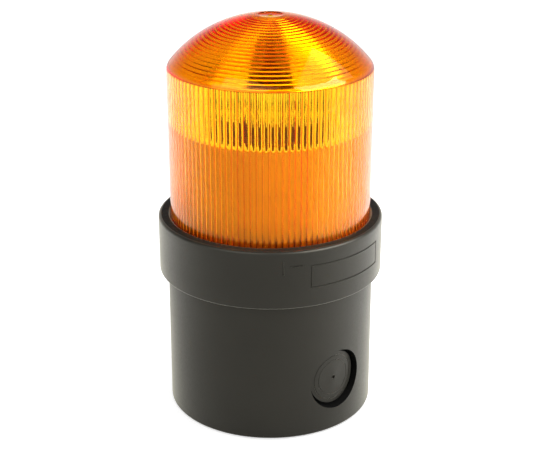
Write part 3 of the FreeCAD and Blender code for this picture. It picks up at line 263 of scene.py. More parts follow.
def start_drawing(name, first):
    """A new object with a single vertex, ready to be extruded; points are in millimetres."""
    bpy.ops.object.select_all(action="DESELECT")
    bpy.ops.mesh.primitive_plane_add(size=MM)
    piece = bpy.context.object
    piece.name = piece.data.name = name
    bpy.ops.object.mode_set(mode="EDIT")
    bpy.ops.mesh.select_mode(type="VERT")
    bpy.ops.mesh.select_all(action="SELECT")
    bpy.ops.mesh.merge(type="CENTER")
    bpy.ops.transform.translate(value=[c * MM for c in first])
    return piece


def draw_through(first, points):
    """Extrudes the selected vertex from point to point."""
    here = first
    for point in points:
        step = [(b - a) * MM for a, b in zip(here, point)]
        bpy.ops.mesh.extrude_region_move(TRANSFORM_OT_translate={"value": step})
        here = point


def merge_doubles():
    bpy.ops.mesh.select_all(action="SELECT")
    bpy.ops.mesh.remove_doubles(threshold=MERGE)


def draw_section(name, corners, closed=True):
    """Draws (radius, height) corners in the plane of X and Z, and joins the ends if it is closed."""
    points = [(radius, 0, height) for radius, height in corners]
    piece = start_drawing(name, points[0])
    draw_through(points[0], points[1:] + points[:1] if closed else points[1:])
    merge_doubles()
    return piece


print("drawing helpers ready")

# %% Picking and rounding helpers
NEAR = 0.01


def select_where(piece, test, kind="vertices"):
    """Selects the vertices, or the faces, that pass the test on their place in millimetres."""
    bpy.ops.mesh.select_mode(type="VERT" if kind == "vertices" else "FACE")
    bpy.ops.mesh.select_all(action="DESELECT")
    bpy.ops.object.mode_set(mode="OBJECT")
    count = 0
    for part in getattr(piece.data, kind):
        place = part.co if kind == "vertices" else part.center
        part.select = test(place / MM)
        count += part.select
    bpy.ops.object.mode_set(mode="EDIT")
    return count


def round_corners(piece, corners, radius, segments=4):
    """Bevels the section's vertices that lie on the given corners."""
    select_where(
        piece, lambda p: any(abs(p.x - r) < NEAR and abs(p.z - h) < NEAR for r, h in corners)
    )
    bpy.ops.mesh.bevel(
        offset=radius * MM, segments=segments, affect="VERTICES", offset_type="OFFSET"
    )


print("picking and rounding helpers ready")

# %% Spinning and finishing helpers


def spin_round(steps, centre=(0, 0, 0), axis=(0, 0, 1)):
    bpy.ops.mesh.select_all(action="SELECT")
    bpy.ops.mesh.spin(steps=steps, angle=2 * math.pi, center=centre, axis=axis)


def close_shell():
    """Merges doubled vertices and turns all faces outwards."""
    merge_doubles()
    bpy.ops.mesh.normals_make_consistent(inside=False)


def finish_piece(piece, angle):
    """Leaves edit mode and shades smooth, with edges sharper than the angle kept crisp."""
    bpy.ops.object.mode_set(mode="OBJECT")
    bpy.ops.object.select_all(action="DESELECT")
    piece.select_set(True)
    bpy.context.view_layer.objects.active = piece
    bpy.ops.object.shade_smooth_by_angle(angle=math.radians(angle))
    size = [round(side / MM, 2) for side in piece.dimensions]
    print(piece.name, "has", len(piece.data.polygons), "faces and measures", size, "mm")


print("spinning and finishing helpers ready")

# %% [markdown]
# ## The base
#
# The base is a moulded cup with a floor, a groove for the gasket under it and a spigot on top. Its
# half section is drawn from the cable hole outwards, up the outer wall, over the spigot and back down
# inside. A spin of 540 steps gives columns of two thirds of a degree, fine enough to pick the bayonet
# lugs from later.

# %% Base cup
COLUMNS = 540
CABLE_HOLE, FOOT, NECK, SHOULDER = 8.15, 32.5, 32.3, 44.6
GASKET_INSIDE, GASKET_OUTSIDE, GASKET_DEPTH = 27.0, 29.6, 1.5
SPIGOT, SPIGOT_INSIDE, SPIGOT_FOOT, SPIGOT_TOP = 30.6, 28.4, 43.3, 53.0
STOP_BOTTOM, LUG_BOTTOM, LUG_TOP = 46.0, 49.3, 52.3
FLOOR_TOP, WALL_FOOT, WALL_HEAD, WALL_TOP = 3.0, 29.9, 29.7, 42.0
OUTER_ROUND, INNER_ROUND, LIP_ROUND = 0.6, 1.2, 0.3

base_corners = [
    (CABLE_HOLE, 0),
    (GASKET_INSIDE, 0),
    (GASKET_INSIDE, GASKET_DEPTH),
    (GASKET_OUTSIDE, GASKET_DEPTH),
    (GASKET_OUTSIDE, 0),
    (FOOT, 0),
    (NECK, SHOULDER),
    (SPIGOT, SHOULDER),
    (SPIGOT, STOP_BOTTOM),
    (SPIGOT, LUG_BOTTOM),
    (SPIGOT, LUG_TOP),
    (SPIGOT, SPIGOT_TOP),
    (SPIGOT_INSIDE, SPIGOT_TOP),
    (SPIGOT_INSIDE, SPIGOT_FOOT),
    (WALL_HEAD, WALL_TOP),
    (WALL_FOOT, FLOOR_TOP),
    (CABLE_HOLE, FLOOR_TOP),
]
lips = [
    (SPIGOT, SPIGOT_TOP),
    (SPIGOT_INSIDE, SPIGOT_TOP),
    (CABLE_HOLE, 0),
    (CABLE_HOLE, FLOOR_TOP),
]
base = draw_section("base_shell", base_corners)
round_corners(base, [(FOOT, 0), (NECK, SHOULDER)], OUTER_ROUND)
round_corners(base, lips, LIP_ROUND, 2)
round_corners(base, [(WALL_FOOT, FLOOR_TOP)], INNER_ROUND)
spin_round(COLUMNS)
close_shell()
print("base cup drawn from", len(base_corners), "corners and spun in", COLUMNS, "steps")

# %% [markdown]
# ### Bayonet lugs
#
# Three lugs on the spigot hold the head, and each has a stop at one end. They could be blocks joined
# to the spigot. Faces of the spigot are picked by place and pulled out along their normals instead,
# which keeps the moulding in one skin, as it leaves the mould.

# %% Bayonet lugs
LUG_RADIUS, LUG_START, LUG_ARC, STOP_ARC = 32.6, 149.0, 28.0, 4.5
ON_WALL = 0.05


def radius(place):
    return math.hypot(place.x, place.y)


def azimuth(place):
    return math.degrees(math.atan2(place.y, place.x)) % 360


def within(angle, start, end):
    return (angle - start) % 360 < end - start


def in_three_arcs(place, start, arc):
    """True in one of three equal arcs, 120 degrees apart."""
    return any(within(azimuth(place), start + turn, start + turn + arc) for turn in (0, 120, 240))


def on_spigot(p, low, high, start, arc):
    on_face = low < p.z < high and abs(radius(p) - SPIGOT) < ON_WALL
    return on_face and in_three_arcs(p, start, arc)


def pull_out(distance):
    """Extrudes the selected faces along their normals, or inwards if the distance is negative."""
    bpy.ops.mesh.extrude_region_shrink_fatten(TRANSFORM_OT_shrink_fatten={"value": distance * MM})


picked = select_where(
    base,
    lambda p: on_spigot(p, LUG_BOTTOM, LUG_TOP, LUG_START, LUG_ARC)
    or on_spigot(p, STOP_BOTTOM, LUG_BOTTOM, LUG_START, STOP_ARC),
    "polygons",
)
pull_out(LUG_RADIUS - SPIGOT)
print("lugs pulled out of", picked, "faces")
finish_piece(base, angle=35)

# %% [markdown]
# ### Bosses and holes
#
# On the floor stand two bosses for the fixing screws and two for the terminal block's own screws.
# Bosses are added and holes are cut with Boolean modifiers, as with a drill. That leaves long thin
# faces on a flat floor, where they don't show.

# %% Bosses and holes
BOSS_FOOT, BOSS_LENGTH = 1, 5.0
FIXING_X, FIXING_BOSS, FIXING_HOLE = 20.0, 5.5, 2.65
EAR_X, EAR_Y, EAR_BOSS, PILOT_HOLE = 17.0, 17.0, 3.6, 1.3


def round_bar(name, place, bar_radius, length, towards="Z", vertices=64):
    """A round bar for a Boolean, from its place along Z or against Y; sizes are in millimetres."""
    bpy.ops.object.select_all(action="DESELECT")
    turn = (0, 0, 0) if towards == "Z" else (math.pi / 2, 0, 0)
    half = (0, 0, length / 2) if towards == "Z" else (0, -length / 2, 0)
    middle = [(p + h) * MM for p, h in zip(place, half)]
    bpy.ops.mesh.primitive_cylinder_add(
        vertices=vertices, radius=bar_radius * MM, depth=length * MM, location=middle, rotation=turn
    )
    bar = bpy.context.object
    bar.name = name
    bpy.ops.object.transform_apply(location=True, rotation=True, scale=True)
    return bar


def combine(piece, tool, operation):
    """Applies one Boolean to the piece and deletes its tool."""
    bpy.ops.object.select_all(action="DESELECT")
    bpy.context.view_layer.objects.active = piece
    piece.select_set(True)
    change = piece.modifiers.new(tool.name, "BOOLEAN")
    change.operation = operation
    change.solver = "EXACT"
    change.object = tool
    before = len(piece.data.polygons)
    bpy.ops.object.modifier_apply(modifier=change.name)
    bpy.data.objects.remove(tool)
    return len(piece.data.polygons) - before


added = 0
for side in (-1, 1):
    fixing, ear = (FIXING_X * side, 0), (EAR_X * side, EAR_Y)
    for name, place, bar_radius, length, operation in (
        ("fixing_boss", (*fixing, BOSS_FOOT), FIXING_BOSS, BOSS_LENGTH, "UNION"),
        ("ear_boss", (*ear, BOSS_FOOT), EAR_BOSS, BOSS_LENGTH, "UNION"),
        ("fixing_hole", (*fixing, -1), FIXING_HOLE, 9, "DIFFERENCE"),
        ("pilot_hole", (*ear, 1.5), PILOT_HOLE, 6, "DIFFERENCE"),
    ):
        added += combine(base, round_bar(name, place, bar_radius, length), operation)
print("bosses and holes changed", added, "faces")

# %% [markdown]
# ### Side knock-out
#
# The knock-out is a round plate in a recess, to be broken out for a side cable. It has a break-out
# groove, two scored rings and a centre mark, and a pad behind it keeps the wall thick enough. Its
# cutter is drawn as a half section about the entry's own axis and spun. The section's depth is a
# distance from the beacon's axis, so each vertex is then pushed until it lies at that distance, which
# wraps the flat relief round the base. A Boolean cuts it out, and its slivers are dissolved.

# %% Side knock-out
ENTRY_HEIGHT, ENTRY_RADIUS = 16.7, 9.65
PAD_RADIUS, PAD_START, PAD_LENGTH = 12.0, -27.0, 3.05
PLATE, SCORE, GROOVE, OUTSIDE = 30.6, 30.5, 29.7, 36
PAD_SIDES, CUTTER_STEPS = 96, 128

pad_place = (0, PAD_START, ENTRY_HEIGHT)
combine(base, round_bar("gland_pad", pad_place, PAD_RADIUS, PAD_LENGTH, "-Y", PAD_SIDES), "UNION")

# distance from the entry's axis, and from the beacon's axis
relief = [
    (0, 30.0),
    (0.45, 30.05),
    (0.6, PLATE),
    (5.65, PLATE),
    (5.72, SCORE),
    (5.83, SCORE),
    (5.9, PLATE),
    (7.15, PLATE),
    (7.22, SCORE),
    (7.33, SCORE),
    (7.4, PLATE),
    (8.55, PLATE),
    (8.7, 30.45),
    (8.75, GROOVE),
    (ENTRY_RADIUS, GROOVE),
    (ENTRY_RADIUS, OUTSIDE),
    (0, OUTSIDE),
]
points = [(across, -away, ENTRY_HEIGHT) for across, away in relief]
cutter = start_drawing("knock_out", points[0])
draw_through(points[0], points[1:])
spin_round(CUTTER_STEPS, (0, 0, ENTRY_HEIGHT * MM), (0, 1, 0))
close_shell()
bpy.ops.object.mode_set(mode="OBJECT")
for vertex in cutter.data.vertices:
    away = -vertex.co.y
    vertex.co.y = -math.sqrt(away**2 - vertex.co.x**2)
print("knock-out added", combine(base, cutter, "DIFFERENCE"), "faces")
bpy.ops.object.mode_set(mode="EDIT")
close_shell()
bpy.ops.mesh.dissolve_degenerate(threshold=MERGE)
finish_piece(base, angle=30)

# %% [markdown]
# ### Faces of the break-out groove
#
# The groove is deep and narrow, and looks almost black in the photograph. A second, darker material
# without sheen on its faces paints that shade, so they are found by their distance from both axes and
# kept for the dressing.

# %% Faces of the break-out groove
GROOVE_START = 8.6


def in_groove(p):
    across = math.hypot(p.x, p.z - ENTRY_HEIGHT)
    on_ring = GROOVE_START < across < ENTRY_RADIUS + ON_WALL
    return p.y < 0 and on_ring and GROOVE - ON_WALL < radius(p) < NECK - ON_WALL


# the groove's faces, which take the painted shade
groove_shade_faces = [face.index for face in base.data.polygons if in_groove(face.center / MM)]
print("break-out groove has", len(groove_shade_faces), "faces")

# %% [markdown]
# ## The locking collar
#
# The collar is a ring that holds the lens and twists onto the base. Its section has a lip over the
# lens flange, and rooms inside for that flange and for the chassis's rim. The outer wall gets extra
# corners at the heights of the engraved lines, so that the spun ring has the rows of faces for them.

# %% Collar ring
COLLAR, COLLAR_BOTTOM, COLLAR_TOP, COLLAR_BORE = 35.0, 45.0, 63.2, 33.2
LIP, LIP_BOTTOM = 31.55, 60.6
FLANGE_ROOM, FLANGE_FLOOR = 33.5, 57.7
CHASSIS_ROOM, CHASSIS_FLOOR = 33.9, 55.5
HOOK_BOTTOM, HOOK_TOP = 46.3, 48.9
LINE = 0.4
LABEL_BOTTOM, LABEL_TOP, DASH_HEIGHT = 51.1, 58.4, 58.4
TICK_BOTTOM, TICK_TOP = 55.8, 60.1
TOP_ROUND, BORE_ROUND = 0.9, 0.35

rows = [
    LABEL_BOTTOM,
    LABEL_BOTTOM + LINE,
    TICK_BOTTOM,
    LABEL_TOP - LINE,
    LABEL_TOP,
    DASH_HEIGHT + LINE,
    TICK_TOP,
]
collar_corners = [
    (COLLAR_BORE, COLLAR_BOTTOM),
    (COLLAR, COLLAR_BOTTOM),
    *[(COLLAR, height) for height in rows],
    (COLLAR, COLLAR_TOP),
    (LIP, COLLAR_TOP),
    (LIP, LIP_BOTTOM),
    (FLANGE_ROOM, LIP_BOTTOM),
    (FLANGE_ROOM, FLANGE_FLOOR),
    (CHASSIS_ROOM, FLANGE_FLOOR),
    (CHASSIS_ROOM, CHASSIS_FLOOR),
    (COLLAR_BORE, CHASSIS_FLOOR),
    (COLLAR_BORE, HOOK_TOP),
    (COLLAR_BORE, HOOK_BOTTOM),
]
collar = draw_section("collar_ring", collar_corners)
round_corners(collar, [(COLLAR, COLLAR_BOTTOM)], OUTER_ROUND)
round_corners(collar, [(COLLAR, COLLAR_TOP)], TOP_ROUND)
round_corners(collar, [(LIP, COLLAR_TOP), (COLLAR_BORE, COLLAR_BOTTOM)], BORE_ROUND, 3)
spin_round(COLUMNS)
close_shell()
print("collar drawn from", len(collar_corners), "corners and spun in", COLUMNS, "steps")

# %% [markdown]
# ### Engraved lines and hooks
#
# A blank label frame, an alignment tick and a dash are engraved on the collar's outside. Inside are
# three hooks, which a turn of the head brings under the lugs of the base. A Boolean could cut the
# lines, but single rows and columns of the wall are already there: they are picked by place and
# pressed in, and the hooks' faces are pulled out. The collar's flat top gets painted shade, a duller
# finish without sheen, so its faces are kept for the dressing.

# %% Engraved lines and hooks
ENTRY_AZIMUTH = 270
LABEL_START, LABEL_END = ENTRY_AZIMUTH - 20.0, ENTRY_AZIMUTH + 27.33
TICK_AZIMUTH = ENTRY_AZIMUTH - 34.0
DASH_START, DASH_END = ENTRY_AZIMUTH - 30.0, ENTRY_AZIMUTH - 24.0
COLUMN = 360 / COLUMNS
ENGRAVING_DEPTH = 0.3
HOOK_RADIUS, HOOK_START, HOOK_ARC = 31.1, 180.0, 22.0


def on_mark(p):
    """True on the engraved lines of the collar's outer wall."""
    if radius(p) < COLLAR - ON_WALL:
        return False
    a, z = azimuth(p), p.z
    in_label = within(a, LABEL_START, LABEL_END) and LABEL_BOTTOM < z < LABEL_TOP
    between_sides = within(a, LABEL_START + COLUMN, LABEL_END - COLUMN)
    in_bare_middle = between_sides and LABEL_BOTTOM + LINE < z < LABEL_TOP - LINE
    on_tick = within(a, TICK_AZIMUTH, TICK_AZIMUTH + COLUMN) and TICK_BOTTOM < z < TICK_TOP
    on_dash = within(a, DASH_START, DASH_END) and DASH_HEIGHT < z < DASH_HEIGHT + LINE
    return (in_label and not in_bare_middle) or on_tick or on_dash


def on_hook(p):
    on_face = HOOK_BOTTOM < p.z < HOOK_TOP and abs(radius(p) - COLLAR_BORE) < ON_WALL
    return on_face and in_three_arcs(p, HOOK_START, HOOK_ARC)


marked = select_where(collar, on_mark, "polygons")
pull_out(-ENGRAVING_DEPTH)
hooked = select_where(collar, on_hook, "polygons")
pull_out(COLLAR_BORE - HOOK_RADIUS)
print("collar:", marked, "faces pressed in,", hooked, "faces pulled out as hooks")
finish_piece(collar, angle=30)
# the collar's flat top faces, which take the painted shade
flat_top = COLLAR_TOP - NEAR
top_shade_faces = [face.index for face in collar.data.polygons if face.center.z / MM > flat_top]
print("collar's top has", len(top_shade_faces), "faces")

# %% [markdown]
# ## The lens
#
# The lens is clear amber plastic, polished outside, with 108 upright ribs inside its wall and 21 rings
# inside its dome, which spread the flash. It has to be one closed wall, because light is bent as it
# goes into the plastic and again as it comes out. Outside and ringed dome are spun, the ribs are drawn
# once and copied round, and the three are bridged. The wall is half as thick as in the CAD model: the
# colour deepens with the way through the plastic, and the thinner wall has the photograph's yellow.

# %% Lens outside
LENS, LENS_WALL, FLANGE = 31.2, 0.8, 33.3
LENS_INSIDE = LENS - LENS_WALL
LENS_BOTTOM, FLANGE_TOP, LENS_TOP = 58.6, 60.6, 125.2
DOME, DOME_STEPS, EDGE_ROUND = 39.6, 24, 1.1
DOME_CENTRE = LENS_TOP - DOME
EDGE_HEIGHT = DOME_CENTRE + math.sqrt(DOME**2 - LENS**2)
GATE, GATE_DEPTH, GATE_POINT, POINT_DEPTH, GATE_ROUND = 3.6, 0.3, 0.7, 0.05, 0.12
LENS_COLUMNS = 216


def on_sphere(sphere, angle):
    """A point of a sphere about the dome's centre, by its angle from the top."""
    turn = math.radians(angle)
    return sphere * math.sin(turn), DOME_CENTRE + sphere * math.cos(turn)


edge_angle = math.degrees(math.asin(LENS / DOME))
gate_angle = math.degrees(math.asin(GATE / DOME))
dome_arc = edge_angle - gate_angle
slope = [gate_angle + dome_arc * step / DOME_STEPS for step in range(DOME_STEPS, -1, -1)]
gate_rim = on_sphere(DOME, gate_angle)[1]
outside = [
    (LENS_INSIDE, LENS_BOTTOM),
    (FLANGE, LENS_BOTTOM),
    (FLANGE, FLANGE_TOP),
    (LENS, FLANGE_TOP),
    *[on_sphere(DOME, angle) for angle in slope],
    (GATE, gate_rim - GATE_DEPTH),
    (GATE_POINT, gate_rim - GATE_DEPTH),
    (GATE_POINT, gate_rim - POINT_DEPTH),
    (0, gate_rim - POINT_DEPTH),
]
lens = draw_section("lens_shell", outside, closed=False)
round_corners(lens, [(LENS, EDGE_HEIGHT)], EDGE_ROUND, 5)
round_corners(lens, [(GATE, gate_rim), (GATE, gate_rim - GATE_DEPTH)], GATE_ROUND, 2)
spin_round(LENS_COLUMNS)
bpy.ops.mesh.remove_doubles(threshold=MERGE)
bpy.ops.object.mode_set(mode="OBJECT")
print("lens outside:", len(lens.data.polygons), "faces, edge at", round(EDGE_HEIGHT, 2), "mm")

# %% [markdown]
# ### Ringed dome
#
# The rings inside the dome are steps like a staircase, each with an upright and a level face. They
# mirror the softboxes, so the bright and dark wedges of the photograph come from this shape and not
# from paint. A bump in the material couldn't bend the light that way.

# %% Ringed dome
DOME_WALL, CROWN_STEPS = 1.6, 4
RING_COUNT, RING_FIRST, RING_PITCH = 21, 8.4, 2.03
DOME_FOOT = 109.3

inner_sphere = DOME - DOME_WALL
rings = [on_sphere(inner_sphere, RING_FIRST * step / CROWN_STEPS) for step in range(CROWN_STEPS)]
for ring in range(RING_COUNT):
    upper = on_sphere(inner_sphere, RING_FIRST + RING_PITCH * ring)
    lower = on_sphere(inner_sphere, RING_FIRST + RING_PITCH * (ring + 1))
    rings += [upper, (upper[0], lower[1])]
rings.append(on_sphere(inner_sphere, RING_FIRST + RING_PITCH * RING_COUNT))
rings.append((LENS_INSIDE, DOME_FOOT))
dome = draw_section("lens_dome_inside", rings, closed=False)
spin_round(LENS_COLUMNS)
bpy.ops.mesh.remove_doubles(threshold=MERGE)
bpy.ops.object.mode_set(mode="OBJECT")
print("ringed dome:", len(dome.data.polygons), "faces")

# %% [markdown]
# ### Ribbed wall
#
# Each rib is a shallow round ridge with a narrow flat beside it. The ribs break the dark socket behind
# them into upright streaks, and their depth sets how far those spread sideways. One rib is drawn as an
# arc, pulled up into a strip and copied round by a spin that duplicates.

# %% Ribbed wall
RIB_COUNT, RIB_DEPTH, RIB_SHARE, RIB_STEPS = 108, 0.34, 0.88, 12
RIB_BOTTOM, RIB_TOP = 59.4, 109.1

pitch = 2 * math.pi / RIB_COUNT
rib = []
for step in range(RIB_STEPS + 1):
    share = step / RIB_STEPS
    turn = pitch * RIB_SHARE * share
    reach = LENS_INSIDE - RIB_DEPTH * (1 - (2 * share - 1) ** 2)
    rib.append((reach * math.cos(turn), reach * math.sin(turn), RIB_BOTTOM))
rib.append((LENS_INSIDE * math.cos(pitch), LENS_INSIDE * math.sin(pitch), RIB_BOTTOM))
ribs = start_drawing("lens_ribs", rib[0])
draw_through(rib[0], rib[1:])
bpy.ops.mesh.select_all(action="SELECT")
rib_height = (0, 0, (RIB_TOP - RIB_BOTTOM) * MM)
bpy.ops.mesh.extrude_region_move(TRANSFORM_OT_translate={"value": rib_height})
bpy.ops.mesh.select_all(action="SELECT")
bpy.ops.mesh.spin(
    steps=RIB_COUNT - 1, angle=2 * math.pi - pitch, center=(0, 0, 0), axis=(0, 0, 1), dupli=True
)
merge_doubles()
bpy.ops.object.mode_set(mode="OBJECT")
print("ribbed wall:", len(ribs.data.polygons), "faces")

# %% [markdown]
# ### One closed wall
#
# Outside, dome and ribs are joined into one object. Two gaps are left, under the ribs and above them,
# where a round edge meets a ribbed one. Bridge Edge Loops fills such a gap between loops that have
# different numbers of edges, which would be slow to do face by face.

# %% Join and bridge the lens
bpy.ops.object.select_all(action="DESELECT")
for part in (dome, ribs, lens):
    part.select_set(True)
bpy.context.view_layer.objects.active = lens
bpy.ops.object.join()
bpy.ops.object.mode_set(mode="EDIT")
for low, high in ((LENS_BOTTOM, RIB_BOTTOM), (RIB_TOP, DOME_FOOT)):
    select_where(
        lens,
        lambda p: radius(p) < LENS_INSIDE + NEAR and min(abs(p.z - low), abs(p.z - high)) < NEAR,
    )
    bpy.ops.mesh.bridge_edge_loops()
close_shell()
finish_piece(lens, angle=25)
print("lens has", sum(edge.is_loose for edge in lens.data.edges), "loose edges")

# %% [markdown]
# ## Materials
#
# No real surface has one flat colour, so each finish has two close tones, uneven gloss and a fine
# grain, all from noise. Noise could be placed by a UV map, but these pieces have no seams to follow.
# Object coordinates need none, and a pattern on them keeps its real size in metres.

# %% Material helpers
NOISE_LOW, NOISE_HIGH = 0.3, 0.7


def new_finish(name):
    """A material with its Principled shader; returns the material, its tree and the shader."""
    finish = bpy.data.materials.new(name)
    finish.use_nodes = True
    return finish, finish.node_tree, finish.node_tree.nodes["Principled BSDF"]


def speckle(tree, scale, detail=4.0):
    """Noise on Object coordinates; returns its factor."""
    coordinates = tree.nodes.new("ShaderNodeTexCoord")
    noise = tree.nodes.new("ShaderNodeTexNoise")
    noise.inputs["Scale"].default_value = scale
    noise.inputs["Detail"].default_value = detail
    tree.links.new(coordinates.outputs["Object"], noise.inputs["Vector"])
    return noise.outputs["Fac"]


def clouds(tree, low, high, scale=60):
    """Two close tones in soft clouds; returns the colour."""
    ramp = tree.nodes.new("ShaderNodeValToRGB")
    for element, place, tone in zip(ramp.color_ramp.elements, (NOISE_LOW, NOISE_HIGH), (low, high)):
        element.position = place
        element.color = (*tone, 1)
    tree.links.new(speckle(tree, scale), ramp.inputs["Fac"])
    return ramp.outputs["Color"]


def dents(tree, shader, factor, height, strength):
    """A bump from a factor; the height is in metres."""
    bump = tree.nodes.new("ShaderNodeBump")
    bump.inputs["Distance"].default_value = height
    bump.inputs["Strength"].default_value = strength
    tree.links.new(factor, bump.inputs["Height"])
    tree.links.new(bump.outputs["Normal"], shader.inputs["Normal"])


print("material helpers ready")

# %% Moulded and metal finishes
GRAIN_HEIGHT, GRAIN_DETAIL = 0.00002, 3


def grained(name, rough, grain=900, bump=0.25, specular=0.5):
    """A finish with uneven gloss and a fine grain, still without its colour."""
    finish, tree, shader = new_finish(name)
    fine = speckle(tree, grain, GRAIN_DETAIL)
    gloss = fade(tree, fine, *rough, NOISE_LOW, NOISE_HIGH)
    tree.links.new(gloss, shader.inputs["Roughness"])
    dents(tree, shader, fine, GRAIN_HEIGHT, bump)
    shader.inputs["Specular IOR Level"].default_value = specular
    return finish, tree, shader


def moulded(name, low, high, rough, grain=900, bump=0.25, metallic=0.0, specular=0.5):
    """A plain moulding or metal in two close tones."""
    finish, tree, shader = grained(name, rough, grain, bump, specular)
    tree.links.new(clouds(tree, low, high), shader.inputs["Base Color"])
    shader.inputs["Metallic"].default_value = metallic
    return finish


print("moulded finishes ready")

# %% [markdown]
# ### Black moulding
#
# Base and collar are black plastic with a satin, slightly warm surface that turns pale at the edges,
# where the eye meets it at a slant. Black paint alone would stay black there. A sheen gives that pale
# rim, and its tint the warm grey. The break-out groove and the collar's flat top get copies of this
# finish that are matt and have no sheen, so they render darker: painted shade on both.

# %% Black moulding
black_moulding = moulded(
    "black_moulding", (0.004, 0.0038, 0.003), (0.007, 0.0066, 0.005), (0.34, 0.46), 1400, 0.2
)
shader = black_moulding.node_tree.nodes["Principled BSDF"]
shader.inputs["Specular Tint"].default_value = (1, 0.95, 0.8, 1)
shader.inputs["Sheen Weight"].default_value = 0.9
shader.inputs["Sheen Roughness"].default_value = 0.35
shader.inputs["Sheen Tint"].default_value = (1, 0.97, 0.8, 1)
# painted shade: the groove's faces get a darker black without sheen, for the shadow in the deep groove
groove_painted_shade = moulded(
    "groove_painted_shade", (0.002, 0.002, 0.0015), (0.004, 0.004, 0.003), (0.7, 0.9), specular=0.1
)
# painted shade: the collar's flat top gets a duller black without sheen, so it renders darker than the
# sides
top_painted_shade = moulded(
    "top_painted_shade", (0.014, 0.0135, 0.011), (0.02, 0.019, 0.016), (0.55, 0.7), specular=0.25
)
print("finishes:", black_moulding.name, groove_painted_shade.name, top_painted_shade.name)

# %% [markdown]
# ### Where a finish changes on a piece
#
# Some mouldings change gloss at a step of their shape, and some get painted shade or a painted
# highlight there. Picked faces could carry a second material, but CAD nodes stay as they are, and a
# wall with light inside it must have one material. A factor that goes from 0 to 1 where a radius or a
# height passes a limit works for both.

# %% Limit helper


def past_limit(tree, measure, limit, edge):
    """Goes from 0 to 1 where the radius or the height passes a limit; both in millimetres."""
    coordinates = tree.nodes.new("ShaderNodeTexCoord")
    kept = tree.nodes.new("ShaderNodeMapping")
    kept.inputs["Scale"].default_value = (1, 1, 0) if measure == "radius" else (0, 0, 1)
    tree.links.new(coordinates.outputs["Object"], kept.inputs["Vector"])
    length = tree.nodes.new("ShaderNodeVectorMath")
    length.operation = "LENGTH"
    tree.links.new(kept.outputs["Vector"], length.inputs[0])
    return fade(tree, length.outputs["Value"], 0, 1, limit * MM, (limit + edge) * MM)


print("limit helper ready")

# %% [markdown]
# ### Amber lens
#
# The plastic is amber all through. A coloured surface would look the same everywhere, so the surface
# is clear and a Volume Absorption inside takes up blue at once, green slowly and red hardly at all:
# a short way through is yellow, a long one orange or red. The rings inside the dome are slightly
# matt, which softens what they mirror. A mask from the distance to the dome's centre and from the
# height makes only them rougher.

# %% Amber lens
RING_ROUGHNESS, RING_EDGE, POLISH = 0.18, 0.1, 0.03
LENS_IOR, AMBER_DENSITY = 1.58, 2600
RIPPLE_HEIGHT, RIPPLE = 0.00004, 0.1

amber_lens, tree, shader = new_finish("amber_lens")
clear = clouds(tree, (0.98, 0.965, 0.95), (1.0, 0.995, 0.99), scale=40)
tree.links.new(clear, shader.inputs["Base Color"])
coordinates = tree.nodes.new("ShaderNodeTexCoord")
from_centre = tree.nodes.new("ShaderNodeVectorMath")
from_centre.operation = "DISTANCE"
from_centre.inputs[1].default_value = (0, 0, DOME_CENTRE * MM)
tree.links.new(coordinates.outputs["Object"], from_centre.inputs[0])
mid_wall = [(DOME - share * DOME_WALL) * MM for share in (0.6, 0.4)]
inside = fade(tree, from_centre.outputs["Value"], 1, 0, *mid_wall)
on_rings = fade(tree, past_limit(tree, "height", DOME_FOOT, RING_EDGE), 0, inside)
polish = fade(tree, speckle(tree, scale=300), 0.0, POLISH, NOISE_LOW, NOISE_HIGH)
tree.links.new(fade(tree, on_rings, polish, RING_ROUGHNESS), shader.inputs["Roughness"])
shader.inputs["Transmission Weight"].default_value = 1.0
shader.inputs["IOR"].default_value = LENS_IOR
shader.inputs["Specular Tint"].default_value = (1.0, 0.6, 0.25, 1)
dents(tree, shader, speckle(tree, scale=90, detail=2), RIPPLE_HEIGHT, RIPPLE)
amber = tree.nodes.new("ShaderNodeVolumeAbsorption")
amber.inputs["Color"].default_value = (0.9964, 0.9, 0.0, 1)
amber.inputs["Density"].default_value = AMBER_DENSITY
tree.links.new(amber.outputs["Volume"], tree.nodes["Material Output"].inputs["Volume"])
print("finish:", amber_lens.name)

# %% [markdown]
# ### Tube glass
#
# The flash tube is a thin bent tube of glass above the socket, seen only through the lens. Clear
# glass would vanish there. A slightly smoky one darkens the middle of the lens a little, which comes
# closer to the photograph.

# %% Tube glass
GLASS_IOR, GLASS_POLISH = 1.47, 0.04

tube_glass, tree, shader = new_finish("tube_glass")
smoke = clouds(tree, (0.45, 0.4, 0.36), (0.54, 0.48, 0.43), scale=200)
tree.links.new(smoke, shader.inputs["Base Color"])
polish = fade(tree, speckle(tree, scale=500), 0.0, GLASS_POLISH, NOISE_LOW, NOISE_HIGH)
tree.links.new(polish, shader.inputs["Roughness"])
shader.inputs["Transmission Weight"].default_value = 1.0
shader.inputs["IOR"].default_value = GLASS_IOR
print("finish:", tube_glass.name)

# %% [markdown]
# ### Drum and socket
#
# Through the lens the photograph shows an orange drum with a dark red foot, a bright dish above it and
# a dark socket in the middle. Drum and dish are one white moulding, whose tone changes with the
# radius,
# and at the foot with the height: the drum's side is painted a darker orange, for its shade beside the
# top-lit dish, and its foot dark red, for the shadow that the collar casts on it. The socket's top is
# painted paler than its side, a painted highlight from the light above. The tones are chosen for how
# they look through the amber, which takes up nearly all blue and some green.

# %% Drum and socket
DRUM_WALL, SOCKET_TOP, TONE_EDGE = 24.3, 92.0, 0.15
DRUM_FOOT, FOOT_EDGE = 62.0, 1.0
MIX_FIRST, MIX_SECOND, MIX_RESULT = 6, 7, 2


def change_tone(tree, past, first, second):
    """Blends from one colour socket to another by a factor."""
    tones = tree.nodes.new("ShaderNodeMix")
    tones.data_type = "RGBA"
    tree.links.new(past, tones.inputs["Factor"])
    tree.links.new(first, tones.inputs[MIX_FIRST])
    tree.links.new(second, tones.inputs[MIX_SECOND])
    return tones.outputs[MIX_RESULT]


